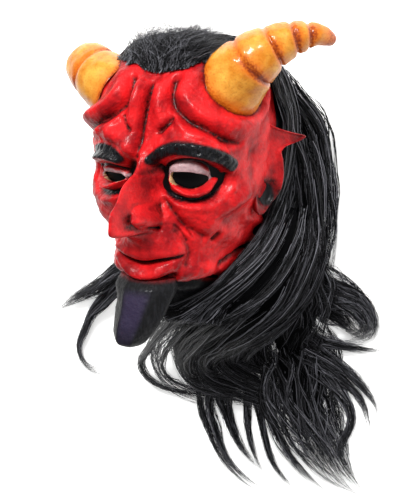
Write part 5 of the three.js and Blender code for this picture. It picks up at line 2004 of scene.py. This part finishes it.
    def over_crown(self, across: Array, run: Array, height: Array) -> Array:
        """Points over the crown.

        Args:
            across: place to the side.
            run: way along the head's middle from y 190 in front, over the top and down behind.
            height: lift from the skin.

        Returns:
            The points, in the same layout with x, y, z last.
        """
        reach = self.form.fine_run[np.searchsorted(self.form.fine_y, 190.0)]
        rise = self.form.run_end - reach
        forward = run < rise
        head_run = np.where(forward, reach + run, self.form.run_end - (run - rise))
        head_run = np.clip(head_run, 40, self.form.run_end - 0.6)
        _, half, _, _, _ = self.form.section(head_run)
        flat = np.arcsin(np.clip(across / np.maximum(half + 12, 20), -0.98, 0.98))
        angle = np.where(forward, flat, math.pi - flat)
        base = self.form.point(angle.ravel(), head_run.ravel())
        normal = self.form.normal(angle.ravel(), head_run.ravel())
        return (base + normal * height.ravel()[:, None]).reshape(*run.shape, 3)

    def build(self) -> None:
        """Builds the whole wig."""
        self.cap()
        self.cores()
        self.tresses()
        self.fall()
        self.crown()


# Studio
@dataclass(frozen=True)
class Lamp:
    """A soft lamp: a square panel that looks at the mask.

    Args:
        name: what it is for.
        at: its place, in metres.
        side: side of the panel, in metres.
        power: watts.
    """

    name: str
    at: tuple
    side: float
    power: float


@dataclass(frozen=True)
class Studio:
    """Pale floor, soft light and the camera at the photograph's angle.

    Args:
        sky: strength of the even light from all round.
        lamps: the soft lamps.
        eye: place of the camera, in millimetres.
        right, up, back: directions of the camera's frame.
        lens: focal length for a 36 mm high frame.
    """

    sky: float = 0.33
    lamps: tuple[Lamp, ...] = (Lamp("key", (0.35, 1.3, 1.35), 0.42, 31.0),
                               Lamp("fill", (1.2, -0.4, 1.3), 0.9, 2.5),
                               Lamp("sheen", (-0.3, 1.2, 1.35), 0.25, 16.0))
    eye: tuple = (418.8, 302.2, 980.6)
    right: tuple = (0.904, 0.005, -0.428)
    up: tuple = (-0.108, 0.970, -0.217)
    back: tuple = (0.414, 0.242, 0.877)
    lens: float = 77.1

    def floor(self) -> None:
        """The painted floor, a hair's breadth under the mask."""
        piece = Piece("studio_floor")
        count, reach, gap = 41, 6000, 0.2
        sheet = np.linspace(-reach, reach, count)
        x, y = np.meshgrid(sheet, sheet)
        points = np.stack([x.ravel(), y.ravel(), np.full(x.size, -gap)], axis=1)
        piece.add(points, ring_faces(count, count, closed=False))
        piece.build(FLOOR)

    def light(self) -> None:
        """Even light from all round, and the lamps."""
        scene = bpy.context.scene
        scene.world = bpy.data.worlds.new("studio")
        scene.world.use_nodes = True
        ground = scene.world.node_tree.nodes["Background"]
        ground.inputs["Color"].default_value = linear("ffffff")
        ground.inputs["Strength"].default_value = self.sky
        for lamp in self.lamps:
            data = bpy.data.lights.new(lamp.name, "AREA")
            data.energy, data.size = lamp.power, lamp.side
            obj = bpy.data.objects.new(lamp.name, data)
            scene.collection.objects.link(obj)
            obj.location = lamp.at
            obj.rotation_euler = (Vector(lamp.at) - Vector((0, 0.1, 0.1))).to_track_quat("Z", "Y").to_euler()

    def camera(self) -> None:
        """The camera, in place of the photograph's."""
        scene = bpy.context.scene
        data = bpy.data.cameras.new("camera")
        data.sensor_fit, data.sensor_height, data.lens = "VERTICAL", 36.0, self.lens
        data.clip_start, data.clip_end = 0.05, 30.0
        obj = bpy.data.objects.new("camera", data)
        scene.collection.objects.link(obj)
        turn = Matrix((self.right, self.up, self.back)).transposed().to_4x4()
        obj.matrix_world = Matrix.Translation(Vector(self.eye) * MM) @ turn
        scene.camera = obj

    def build(self) -> None:
        """Builds floor, light and camera."""
        self.floor()
        self.light()
        self.camera()
        bpy.context.scene.view_settings.view_transform = "Standard"


def main() -> None:
    """Builds the mask, the wig and the studio, and notes the sizes."""
    logging.basicConfig(level=logging.INFO, format="%(name)s %(message)s")
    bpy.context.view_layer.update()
    form = HeadForm()
    horns = (Horn(form, 1), Horn(form, -1, **RIGHT_HORN))
    form.seats = [horn.seat_line() for horn in horns]
    for horn in horns:
        horn.build()
    MaskSkin(form).build()
    Wig(form, horns).build()
    Studio().build()


if __name__ == "__main__":
    main()
